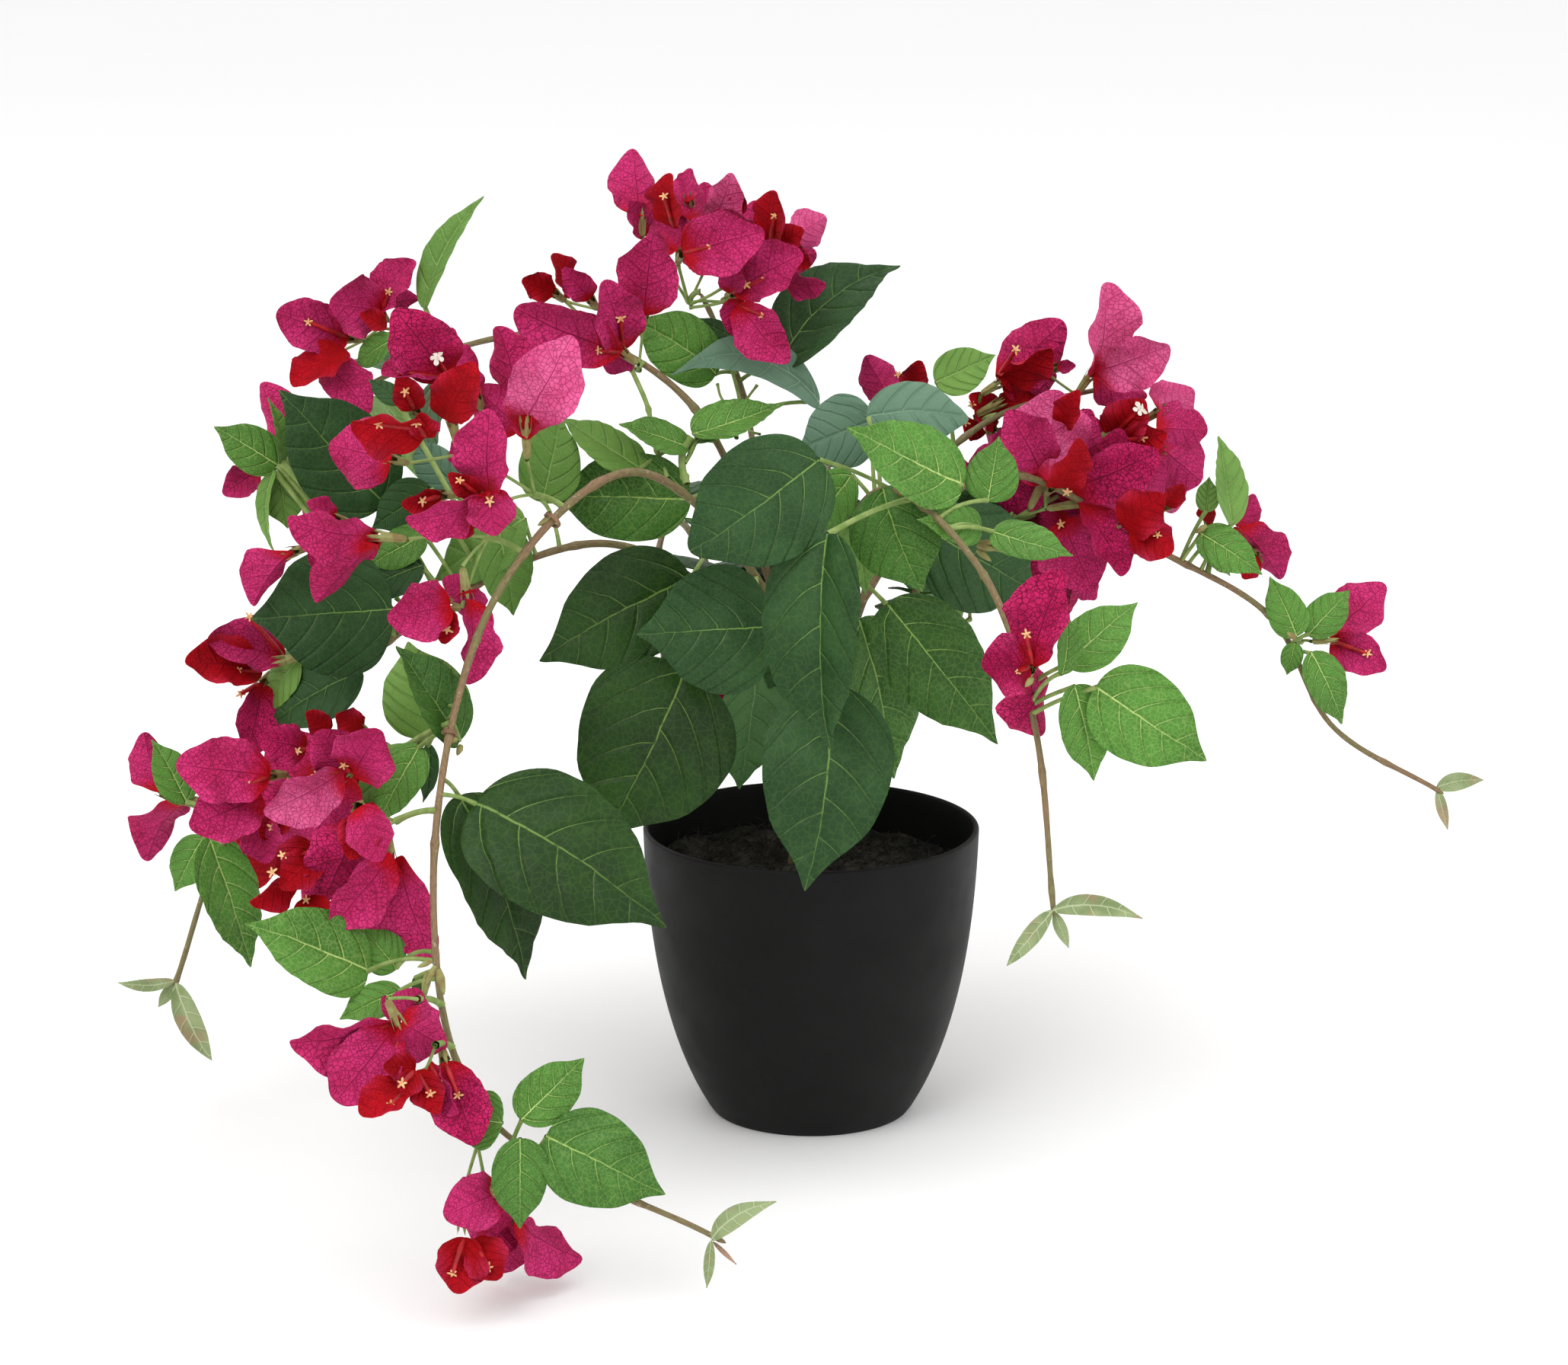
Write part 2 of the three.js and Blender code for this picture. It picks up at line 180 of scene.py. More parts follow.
# A leaf's row: column and row of its foot and of its tip in the camera's frame, how far back its foot lies,
# how much further back its tip does, its width in the frame, its tone, its fold in degrees, its bow to a
# side, and whether it is round.
LEAF_PARTS = "foot_x foot_y tip_x tip_y back lead width tone fold sway round"
Leaf = namedtuple("Leaf", LEAF_PARTS, defaults=(0, False))
LEAVES = {
    "crown_foliage": (
        (907, 655, 723, 650, 22, 14, 118, "M", 6),
        (842, 617, 738, 548, 24, 10, 50, "Y", 12, 0.05),
        (712, 660, 738, 544, 18, 8, 84, "Y", 10),
        (1120, 680, 1136, 781, -34, -6, 50, "Y", 8),
        (1120, 622, 1066, 700, -40, 10, 62, "B", 10),
        (992, 884, 970, 1035, -30, 12, 92, "U", 10),
        (1225, 700, 1362, 778, 2, 20, 150, "D", 6),
        (1062, 800, 1010, 905, -34, 6, 96, "D", 8),
        (1128, 812, 1172, 1022, -26, 6, 100, "M", 12),
        (1163, 792, 1309, 978, -40, -14, 124, "G", 8),
        (909, 759, 708, 868, -46, -22, 146, "W", 8, -0.03),
        (900, 876, 788, 1103, -62, -18, 212, "W", 6, 0.03),
        (1016, 822, 837, 833, -66, -14, 172, "D", 6),
        (1090, 898, 1057, 1170, -78, -20, 174, "D", 7, 0.04),
        (1087, 699, 1090, 986, -92, -12, 122, "D", 22, -0.01),
        (1159, 640, 1211, 777, -56, -10, 126, "M", 10, -0.03),
        (1077, 602, 906, 724, -74, -22, 164, "D", 7, 0.02, True),
        (1150, 550, 1047, 590, -28, 10, 98, "S", 6),
        (1138, 548, 1272, 550, -36, 12, 80, "S", 8, 0.06, True),
        (1266, 637, 1113, 560, -64, -16, 100, "B", 8, 0.03),
        (1297, 659, 1312, 573, -62, 10, 72, "B", 8),
        (1289, 694, 1204, 682, -66, -12, 54, "B", 18, 0.04),
        (1302, 698, 1409, 730, -66, -12, 50, "B", 14, -0.06),
        (1228, 502, 1307, 466, 60, 8, 62, "Y", 10),
        (1077, 529, 882, 492, 70, -18, 58, "S", 16, -0.2),
        (1025, 477, 1182, 348, 78, 14, 92, "D", 16, 0.12),
        (985, 456, 906, 417, 84, 4, 24, "D", 16),
        (941, 492, 836, 424, 72, -8, 88, "B", 10, -0.05, True),
        (906, 588, 813, 556, 30, -6, 38, "B", 18, 0.05),
        (914, 580, 998, 536, 32, 8, 30, "B", 14, -0.04),
        (909, 570, 1028, 530, 30, 8, 48, "B", 22, -0.10),
    ),
    "left_foliage": (
        (517, 445, 466, 482, 96, 6, 36, "B", 14),
        (557, 406, 636, 258, 96, 10, 30, "Y", 26, 0.05),
        (524, 530, 484, 498, -4, 6, 28, "D", 12),
        (602, 645, 538, 578, -4, 8, 58, "S", 8),
        (506, 662, 366, 512, -18, -14, 136, "D", 8),
        (690, 680, 570, 762, -30, 10, 84, "Y", 10),
        (652, 690, 674, 808, -34, 6, 74, "Y", 8),
        (566, 640, 488, 694, -28, 4, 66, "D", 8),
        (560, 702, 482, 745, -34, 4, 52, "B", 10),
        (556, 742, 462, 790, -38, 4, 48, "D", 10),
        (392, 866, 350, 938, -30, 6, 38, "Y", 12),
        (476, 880, 354, 950, -40, 8, 80, "D", 10),
        (516, 799, 330, 813, -52, -16, 172, "D", 6),
        (367, 612, 281, 560, -22, -6, 62, "B", 8),
        (366, 620, 378, 694, -18, -2, 60, "Y", 8),
        (361, 617, 361, 728, -24, -4, 17, "Y", 26, -0.1),
        (369, 609, 351, 522, -24, -4, 18, "Y", 26, -0.04),
        (267, 1098, 230, 1170, -28, 2, 52, "B", 8),
        (273, 1098, 329, 1270, -34, -8, 74, "B", 10, -0.03),
        (245, 1054, 199, 971, -30, 4, 54, "B", 8),
    ),
    "front_left_foliage": (
        (562, 976, 556, 1054, -118, 4, 24, "D", 20),
        (545, 985, 464, 1058, -122, -4, 50, "Y", 12),
        (574, 966, 536, 842, -118, 8, 116, "Y", 8),
        (552, 979, 495, 1085, -134, -6, 62, "B", 14),
        (604, 974, 519, 848, -136, -10, 64, "G", 24, 0.03),
        (602, 1044, 691, 1286, -150, -14, 116, "W", 12, 0.03),
        (622, 1054, 875, 1218, -164, -24, 184, "W", 6, 0.03),
        (522, 1272, 476, 1218, -190, 6, 60, "B", 10),
        (485, 1276, 322, 1212, -196, -16, 104, "B", 8),
        (528, 1300, 446, 1338, -202, -8, 48, "B", 12),
        (545, 1282, 556, 1318, -204, 2, 22, "G", 18),
        (660, 1474, 600, 1466, -248, 6, 80, "B", 8),
        (684, 1471, 767, 1389, -246, 10, 74, "B", 8),
        (683, 1494, 683, 1613, -252, -6, 76, "M", 8),
        (716, 1491, 874, 1568, -250, -14, 128, "M", 7),
    ),
    "right_foliage": (
        (1400, 874, 1494, 791, -150, 10, 74, "B", 8),
        (1411, 899, 1437, 1025, -152, -6, 68, "B", 9),
        (1438, 901, 1584, 999, -154, -14, 124, "B", 7),
        (1394, 886, 1399, 805, -168, 6, 30, "B", 26),
        (1584, 672, 1588, 626, 66, 2, 32, "Y", 12),
        (1579, 714, 1615, 756, 68, 2, 24, "Y", 14),
        (1618, 690, 1601, 572, 66, 8, 42, "Y", 24, 0.05),
        (1575, 700, 1658, 754, 60, -8, 56, "B", 10),
        (1701, 844, 1690, 886, 66, 2, 30, "B", 10),
        (1703, 836, 1667, 757, 70, 4, 52, "B", 8),
        (1717, 834, 1772, 775, 76, 8, 52, "B", 8),
        (1721, 856, 1762, 951, 66, -6, 54, "B", 10),
    ),
    "young_leaves": (
        (934, 1628, 1019, 1578, -266, -6, 30, "N", 18, 0.1),
        (934, 1628, 928, 1691, -266, -4, 16, "N", 22),
        (936, 1630, 967, 1660, -264, -4, 7, "K", 20),
        (1382, 1195, 1500, 1206, -176, -8, 30, "N", 20, 0.1),
        (1382, 1195, 1322, 1268, -176, -6, 26, "N", 20),
        (1384, 1197, 1403, 1244, -174, -2, 17, "N", 14),
        (1886, 1034, 1948, 1024, 73, -4, 25, "N", 16, 0.06),
        (1887, 1036, 1901, 1089, 73, -4, 16, "N", 20),
        (230, 1288, 155, 1290, -30, -4, 18, "N", 18, 0.06),
        (230, 1290, 208, 1322, -29, -2, 17, "N", 18),
        (231, 1290, 278, 1392, -31, -6, 36, "N", 20, -0.05),
    ),
}

# A spray's row: where its flower stalks meet, how far back it lies, its calyces (from stalk to mouth), and
# its bracts from the hindmost to the foremost: foot, tip, width, tone and, if its flower is seen, the star's
# place, with True for a white star.
Spray = namedtuple("Spray", "hub back calyces bracts")
SPRAYS = {
    "high_blossom": (
        Spray((904, 398), 88, ((843, 312, 842, 284), (890, 348, 893, 326), (946, 397, 966, 388)), (
            (880, 330, 868, 250, 60, "P"), (930, 330, 925, 240, 70, "P"), (985, 335, 992, 262, 60, "P"),
            (1010, 348, 1072, 332, 52, "P"), (940, 352, 900, 300, 60, "P"), (905, 265, 893, 227, 32, "P"),
            (845, 312, 822, 264, 30, "P"), (913, 292, 908, 220, 36, "P"),
            (936, 290, 961, 229, 44, "L"), (965, 282, 973, 249, 26, "R"), (990, 298, 940, 274, 30, "P"),
            (842, 284, 832, 192, 58, "P"), (886, 300, 879, 230, 36, "R", 872, 258),
            (892, 332, 900, 258, 34, "P"), (880, 335, 869, 282, 32, "P"),
            (1030, 332, 1063, 350, 36, "R"), (1040, 312, 1086, 283, 52, "L"), (1027, 368, 1085, 372, 30, "P"),
            (1010, 326, 1054, 302, 42, "R"), (1012, 318, 1018, 250, 46, "R", 1017, 283),
            (963, 384, 1057, 334, 64, "P", 1005, 366), (960, 386, 968, 340, 34, "P", 979, 374),
            (968, 392, 962, 440, 40, "D"), (896, 332, 1006, 303, 84, "P", 933, 324),
            (969, 400, 1034, 476, 64, "P", 1002, 415),
        )),
        Spray((838, 486), 44, ((838, 478, 820, 464),), (
            (728, 384, 684, 367, 38, "R"), (748, 390, 724, 334, 26, "R"), (775, 392, 740, 353, 40, "P"),
            (845, 414, 857, 305, 78, "P"), (818, 460, 792, 367, 68, "P", 815, 419),
            (816, 462, 800, 489, 50, "P"), (817, 462, 676, 403, 80, "P", 786, 460),
        )),
        Spray((560, 432), 102, ((546, 436, 514, 437),), (
            (500, 410, 543, 343, 32, "P"), (512, 398, 549, 391, 22, "P"),
            (502, 408, 431, 398, 78, "P", 510, 384),
            (458, 444, 360, 410, 68, "P", 405, 423), (425, 474, 484, 542, 58, "P"),
            (458, 462, 384, 510, 44, "R"), (508, 430, 472, 412, 26, "R"),
        )),
    ),
    "front_left_blossom": (
        Spray((702, 650), -84, ((604, 596, 594, 556), (692, 604, 690, 560), (668, 656, 648, 652)), (
            (625, 520, 612, 453, 40, "P"), (684, 560, 654, 428, 64, "P"), (684, 562, 750, 444, 92, "L"),
            (684, 562, 622, 508, 74, "P"), (690, 545, 692, 578, 36, "R"), (622, 585, 590, 604, 42, "P"),
            (592, 498, 499, 496, 34, "P", 528, 488), (588, 494, 518, 406, 86, "D", 574, 469, True),
            (585, 552, 622, 478, 62, "R"), (514, 602, 430, 584, 92, "P"),
            (545, 538, 524, 491, 42, "R", 532, 514), (562, 565, 460, 549, 44, "R", 497, 557),
            (560, 575, 552, 540, 40, "R", 547, 556), (618, 688, 606, 708, 20, "R"),
            (645, 652, 644, 536, 68, "P", 649, 607), (580, 650, 527, 661, 30, "R", 555, 658),
            (632, 657, 534, 681, 54, "P"), (628, 650, 590, 622, 34, "R", 604, 631),
            (642, 644, 650, 702, 64, "P", 643, 658),
        )),
        Spray((640, 706), -104, ((536, 708, 497, 703), (607, 744, 612, 776), (606, 798, 592, 796)), (
            (385, 724, 332, 792, 46, "P"), (440, 680, 404, 659, 26, "P"), (497, 701, 379, 681, 48, "P"),
            (495, 714, 416, 793, 38, "P"), (496, 706, 409, 751, 54, "D"),
            (612, 776, 580, 760, 34, "P"), (612, 776, 629, 816, 42, "P"), (615, 786, 612, 899, 44, "P"),
            (590, 800, 582, 846, 34, "R", 587, 826), (592, 795, 506, 812, 78, "P"),
        )),
        Spray((522, 988), -132, ((505, 990, 470, 1006), (446, 998, 426, 1010)), (
            (475, 958, 440, 938, 38, "R"), (432, 962, 402, 934, 34, "R"), (467, 1024, 512, 978, 74, "P"),
            (424, 1024, 333, 1122, 68, "D"), (443, 1060, 492, 1130, 68, "D"), (406, 1073, 333, 1088, 56, "P"),
            (412, 1020, 352, 958, 74, "D"), (402, 982, 338, 969, 54, "D", 391, 986),
            (375, 1070, 343, 1102, 36, "R", 358, 1086), (336, 1076, 352, 1134, 56, "P"),
            (345, 1046, 246, 1086, 78, "P"), (356, 1018, 232, 1004, 88, "P", 325, 1031),
            (462, 1015, 418, 958, 70, "P"), (452, 1017, 391, 1130, 76, "P"),
            (450, 1012, 345, 1066, 62, "L", 416, 1017), (462, 1016, 502, 956, 86, "P", 451, 1005),
        )),
        Spray((520, 1078), -176, ((508, 1086, 512, 1121), (495, 1074, 479, 1080)), (
            (455, 1122, 470, 1196, 62, "P"), (412, 1109, 364, 1148, 56, "R"),
            (392, 1148, 328, 1185, 32, "R", 358, 1145), (420, 1118, 368, 1168, 54, "R", 371, 1123),
            (430, 1140, 400, 1190, 56, "D"), (406, 1176, 427, 1256, 62, "R", 402, 1181),
            (525, 1123, 572, 1259, 62, "P"), (512, 1121, 450, 1252, 64, "P"), (514, 1120, 433, 1214, 64, "P"),
            (482, 1068, 460, 1128, 56, "R", 464, 1090), (470, 1060, 500, 1130, 60, "P"),
            (479, 1074, 428, 1182, 78, "D"),
        )),
    ),
    "low_left_blossom": (
        Spray((548, 1312), -250, ((508, 1312, 520, 1336),), (
            (527, 1341, 380, 1368, 60, "P", 491, 1351), (524, 1345, 440, 1446, 88, "P", 519, 1385),
            (526, 1339, 502, 1308, 26, "P"), (527, 1340, 552, 1298, 50, "P"), (527, 1342, 584, 1374, 78, "P"),
        )),
        Spray((572, 1372), -256, (), (
            (584, 1394, 624, 1503, 76, "D", 601, 1437), (566, 1394, 603, 1462, 30, "P", 579, 1424),
            (546, 1402, 503, 1400, 40, "R"), (545, 1406, 576, 1463, 46, "R", 565, 1436),
            (546, 1420, 473, 1467, 46, "R", 513, 1450), (545, 1405, 530, 1440, 34, "R", 528, 1422),
        )),
        Spray((627, 1504), -250, ((635, 1544, 646, 1562), (606, 1580, 608, 1604)), (
            (668, 1592, 652, 1672, 60, "P"), (676, 1600, 767, 1652, 46, "P"),
            (640, 1600, 676, 1640, 60, "D"), (654, 1580, 641, 1655, 66, "P"),
            (658, 1564, 584, 1596, 74, "P", 652, 1563), (668, 1568, 650, 1618, 44, "D"),
            (622, 1626, 657, 1681, 58, "R", 641, 1664), (610, 1624, 601, 1698, 68, "R", 594, 1672),
        )),
    ),
    "left_blossom": (
        Spray((398, 852), -36, ((392, 862, 372, 867),), (
            (375, 865, 270, 842, 58, "P", 328, 810), (344, 896, 320, 997, 58, "D", 316, 911),
            (345, 882, 241, 870, 62, "R", 314, 880),
        )),
        Spray((372, 600), -16, (), (
            (371, 589, 341, 502, 48, "P"), (338, 616, 294, 648, 44, "P"),
        )),
        Spray((276, 1066), -28, ((262, 1050, 244, 1050),), (
            (212, 1040, 188, 963, 46, "P"), (243, 1052, 191, 1124, 42, "P"),
        )),
    ),
    "right_blossom": (
        Spray((1322, 690), 58, ((1351, 670, 1370, 632), (1373, 668, 1421, 660)), (
            (1420, 640, 1360, 596, 92, "P"), (1450, 640, 1470, 566, 84, "D"), (1440, 655, 1398, 724, 88, "P"),
            (1480, 640, 1530, 606, 80, "P"), (1420, 764, 1439, 788, 32, "P"),
            (1395, 684, 1434, 775, 98, "P", 1393, 688), (1405, 680, 1338, 744, 88, "D"),
            (1402, 622, 1432, 538, 58, "P"), (1400, 562, 1416, 513, 34, "R"), (1372, 632, 1325, 541, 70, "P"),
            (1362, 604, 1303, 678, 84, "D"), (1428, 655, 1452, 578, 56, "P"),
            (1405, 642, 1522, 592, 74, "D", 1401, 646), (1418, 662, 1474, 757, 52, "D"),
            (1425, 672, 1472, 600, 70, "P"),
            (1375, 632, 1386, 511, 104, "L"), (1381, 640, 1418, 578, 42, "R"),
            (1532, 664, 1555, 635, 28, "R"), (1474, 690, 1530, 648, 66, "R"),
            (1486, 692, 1540, 726, 56, "R", 1520, 702),
        )),
        Spray((1280, 560), 104, ((1288, 518, 1311, 504), (1280, 546, 1308, 531), (1414, 518, 1431, 494)), (
            (1305, 562, 1271, 518, 34, "R", 1276, 531), (1286, 576, 1267, 548, 26, "R", 1268, 555),
            (1312, 532, 1367, 526, 44, "R"), (1311, 503, 1396, 422, 72, "P"), (1388, 482, 1412, 480, 18, "P"),
            (1310, 496, 1380, 452, 38, "R", 1334, 459), (1316, 508, 1388, 492, 60, "P"),
            (1316, 504, 1392, 455, 62, "D"),
            (1434, 496, 1449, 369, 46, "L"), (1436, 488, 1537, 452, 62, "L"), (1436, 496, 1507, 520, 54, "P"),
        )),
        Spray((1430, 600), 80, ((1434, 580, 1456, 570),), (
            (1522, 540, 1568, 512, 70, "L"), (1520, 590, 1538, 670, 78, "L"), (1518, 582, 1580, 634, 88, "P"),
            (1518, 562, 1588, 566, 76, "P"), (1460, 574, 1504, 524, 62, "R", 1497, 537, True),
            (1462, 578, 1532, 568, 40, "R", 1500, 575),
        )),
        Spray((1354, 880), -168, (), (
            (1354, 874, 1374, 968, 52, "D"), (1353, 874, 1286, 874, 80, "D", 1334, 883),
            (1356, 874, 1397, 750, 66, "D", 1348, 833),
        )),
        Spray((1600, 700), 76, (), (
            (1590, 692, 1592, 648, 24, "R"), (1626, 692, 1646, 647, 30, "P"), (1650, 730, 1632, 760, 30, "R"),
            (1628, 692, 1682, 757, 54, "P"),
        )),
        Spray((1708, 842), 76, ((1722, 842, 1744, 839),), (
            (1748, 841, 1821, 880, 54, "P", 1796, 858), (1746, 838, 1822, 766, 66, "P"),
        )),
        Spray((1190, 545), 80, (), (
            (1168, 526, 1138, 467, 52, "P"), (1196, 512, 1209, 472, 38, "R", 1180, 492),
        )),
    ),
}

LEAF_NODES = {
    "crown_foliage": ("crown_leaves", "front_leaves", "front_left_leaves", "left_skirt_leaves",
                      "right_skirt_leaves", "left_heart_leaves", "top_leaves"),
    "left_foliage": ("left_middle_leaves", "left_high_leaves", "back_left_leaves"),
    "front_left_foliage": ("front_left_middle_leaves", "front_left_low_leaves", "front_left_end_leaves"),
    "right_foliage": ("right_leaves", "right_end_spray", "front_right_leaves"),
    "rear_foliage": ("rear_left_leaves", "rear_right_leaves", "rear_left_spray"),
    "young_leaves": ("front_left_tip", "left_tip", "back_left_spike", "right_tip", "front_right_tip"),
}
BRACT_NODES = {
    "high_blossom": ("top_blossom", "second_blossom", "back_left_blossom"),
    "front_left_blossom": ("front_left_high_blossom", "front_left_hanging_blossom", "front_left_big_blossom",
                           "front_left_middle_blossom"),
    "low_left_blossom": ("front_left_low_blossom", "front_left_end_blossom"),
    "left_blossom": ("left_blossom", "left_end_spray"),
    "right_blossom": ("right_blossom", "right_high_blossom", "front_right_blossom"),
    "rear_blossom": ("rear_blossom", "rear_right_spray"),
}

# How a blade is shaped: rows and columns of its grid, how slowly it widens from its foot and narrows to its
# tip, how far the tip is drawn out, how far its edges rise (or droop, below 0), its arch, how far its tip
# curls, the height of its waves, how many there are to a side, the height of the swellings between its veins,
# and its thickness.
Form = namedtuple("Form", "rows columns foot tip drawn cup arch curl wave waves quilt thick")
LEAF_FORM = Form(32, 18, 0.46, 0.80, 0.48, -0.12, 0.05, 0.10, 0.04, 1.3, 0.012, 0.5)
ROUND_FORM = LEAF_FORM._replace(foot=0.44, tip=0.56, drawn=0.34)
YOUNG_FORM = Form(18, 10, 0.70, 0.95, 0.10, 0.16, 0.06, 0.25, 0.07, 1.6, 0.0, 0.4)
BRACT_FORM = Form(26, 16, 0.60, 0.46, 0.30, 0.30, 0.06, 0.45, 0.20, 2.0, 0.007, 0.35)
# Blades that grow where the front hides them have a coarser grid.
GROWN_LEAF_FORM = LEAF_FORM._replace(rows=24, columns=14)
GROWN_BRACT_FORM = BRACT_FORM._replace(rows=16, columns=10)

# A blade's rows stand closer to each other near its ends, like equal steps round half a circle seen from the
# side. The first and the last keep this far from the ends, in radians of that half circle.
FOOT_TURN, TIP_TURN = 0.12, 0.06
DRAWN_FROM, DRAWN_RUN = 0.68, 0.28  # where a blade's tip starts to be drawn out and over how much of it
CURL_FROM = 0.6  # where a blade's tip starts to curl
# Unevenness of an edge: its share of the waves' height, and the least and most radians along the blade.
EDGE_WAVES = ((0.25, 7, 14), (0.12, 28, 40))
LEAST_HALF = 0.25  # half a blade's width where it is narrowest
TWIST = 12.0  # degrees that a blade twists by at the most
TUBE_SEAM = np.array([0.3, 0.8, 0.5])  # the side on which a tube's seam lies at its start
TOOTH_NOTCH = -0.2  # how far a tube's mouth is cut back between its teeth, as a share of their length


# ---------------------------------------------------------------- places and curves


def unit(v):
    """The vector at length 1."""
    return v / max(float(np.linalg.norm(v)), 1e-9)


def square_to(v, axis):
    """The part of v that is square to the axis, at length 1."""
    flat = v - axis * float(v @ axis)
    if np.linalg.norm(flat) < 1e-6:
        flat = np.cross(axis, UP if abs(axis[2]) < 0.9 else LOOK_RIGHT)
    return unit(flat)


def seen(column, row, back):
    """The place that the camera sees at this column and row of its frame, this far back."""
    ray = LOOK + LOOK_RIGHT * (column - FRAME_WIDTH / 2) / FOCAL + LOOK_UP * (FRAME_HEIGHT / 2 - row) / FOCAL
    return CAMERA_PLACE + ray * (back - CAMERA_PLACE[1]) / ray[1]


def frame_cells(points):
    """The rows and columns of the cover's cells in which the camera sees the points, and their depths."""
    away = np.asarray(points).reshape(-1, 3) - CAMERA_PLACE
    depth = away @ LOOK
    column = (FRAME_WIDTH / 2 + FOCAL * (away @ LOOK_RIGHT) / depth) / COVER_CELL
    row = (FRAME_HEIGHT / 2 - FOCAL * (away @ LOOK_UP) / depth) / COVER_CELL
    row = np.clip(row, 0, COVER.shape[0] - 1).astype(int)
    return (row, np.clip(column, 0, COVER.shape[1] - 1).astype(int)), depth


def cover(points):
    """Notes how near the points are in each cell that they fill."""
    cells, depth = frame_cells(points)
    np.minimum.at(COVER, cells, depth)


def hidden(points):
    """Whether the points have room and the camera sees none of them, as something nearer is before them."""
    points = np.asarray(points)
    if (points < ROOM_LOW).any() or (points > ROOM_HIGH).any():
        return False
    by_the_pot = np.linalg.norm(points[:, :2], axis=1) < POT_RIM + POT_ROOM
    if by_the_pot[points[:, 2] < POT_HEIGHT + POT_ROOM].any():
        return False
    (row, column), depth = frame_cells(points)
    last_row, last_column = COVER.shape[0] - 1, COVER.shape[1] - 1
    near = [COVER[np.clip(row + i, 0, last_row), np.clip(column + j, 0, last_column)] for i, j in NEIGHBOURS]
    return bool((depth > np.max(near, axis=0) + HIDDEN_GAP).mean() > HIDDEN_SHARE)


def vein_line(along, away):
    """The share of the length at which the side vein through a point leaves the midrib."""
    return along - VEIN_SWEEP[0] * away - VEIN_SWEEP[1] * away * away


def frame_scale(place):
    """Millimetres to a pixel of the camera's frame at this place."""
    return float((place - CAMERA_PLACE) @ LOOK) / FOCAL


def curve_through(places, step):
    """Evenly spaced points on a centripetal curve through the places."""
    places = [np.array(p, float) for p in places]
    ends = [2 * places[0] - places[1], *places, 2 * places[-1] - places[-2]]
    fine = []
    for p0, p1, p2, p3 in zip(ends, ends[1:], ends[2:], ends[3:]):
        d0, d1, d2 = (max(math.sqrt(np.linalg.norm(b - a)), 1e-4) for a, b in ((p0, p1), (p1, p2), (p2, p3)))
        t1 = ((p1 - p0) / d0 - (p2 - p0) / (d0 + d1) + (p2 - p1) / d1) * d1
        t2 = ((p2 - p1) / d1 - (p3 - p1) / (d1 + d2) + (p3 - p2) / d2) * d1
        for t in np.linspace(0, 1, CURVE_POINTS, endpoint=False):
            fine.append(
                (2 * t**3 - 3 * t**2 + 1) * p1 + (t**3 - 2 * t**2 + t) * t1
                + (3 * t**2 - 2 * t**3) * p2 + (t**3 - t**2) * t2
            )
    fine.append(places[-1])
    return evenly(np.array(fine), step)


def run_along(points):
    """How far along its line each point lies."""
    return np.concatenate([[0], np.cumsum(np.linalg.norm(np.diff(points, axis=0), axis=1))])


def evenly(points, step):
    """Points set evenly along a line of points, about a step apart."""
    run = run_along(points)
    count = max(int(round(run[-1] / step)), 2) + 1
    at = np.linspace(0, run[-1], count)
    return np.stack([np.interp(at, run, points[:, k]) for k in range(3)], axis=1)


def stem_route(name):
    """The stem's line of points."""
    places = []
    for reach, heading, height in STEMS[name]:
        angle = math.radians(heading)
        places.append((reach * math.cos(angle), reach * math.sin(angle), height))
    return curve_through(places, STEM_STEP)


ROUTES = {name: stem_route(name) for name in STEMS}
ALL_STEM_POINTS = np.concatenate([route[FIRST_JOINT:] for route in ROUTES.values()])


def nearest_on_stems(place):
    """The stem point nearest to the place."""
    return ALL_STEM_POINTS[np.argmin(np.linalg.norm(ALL_STEM_POINTS - place, axis=1))]


def bent_line(start, end, leave, count=10):
    """A curve from start to end that leaves in the given direction."""
    reach = np.linalg.norm(end - start)
    middle = start + unit(leave) * reach * BEND_PLACE
    t = np.linspace(0, 1, count)[:, None]
    return (1 - t) ** 2 * start + 2 * (1 - t) * t * middle + t**2 * end


# ---------------------------------------------------------------- meshes


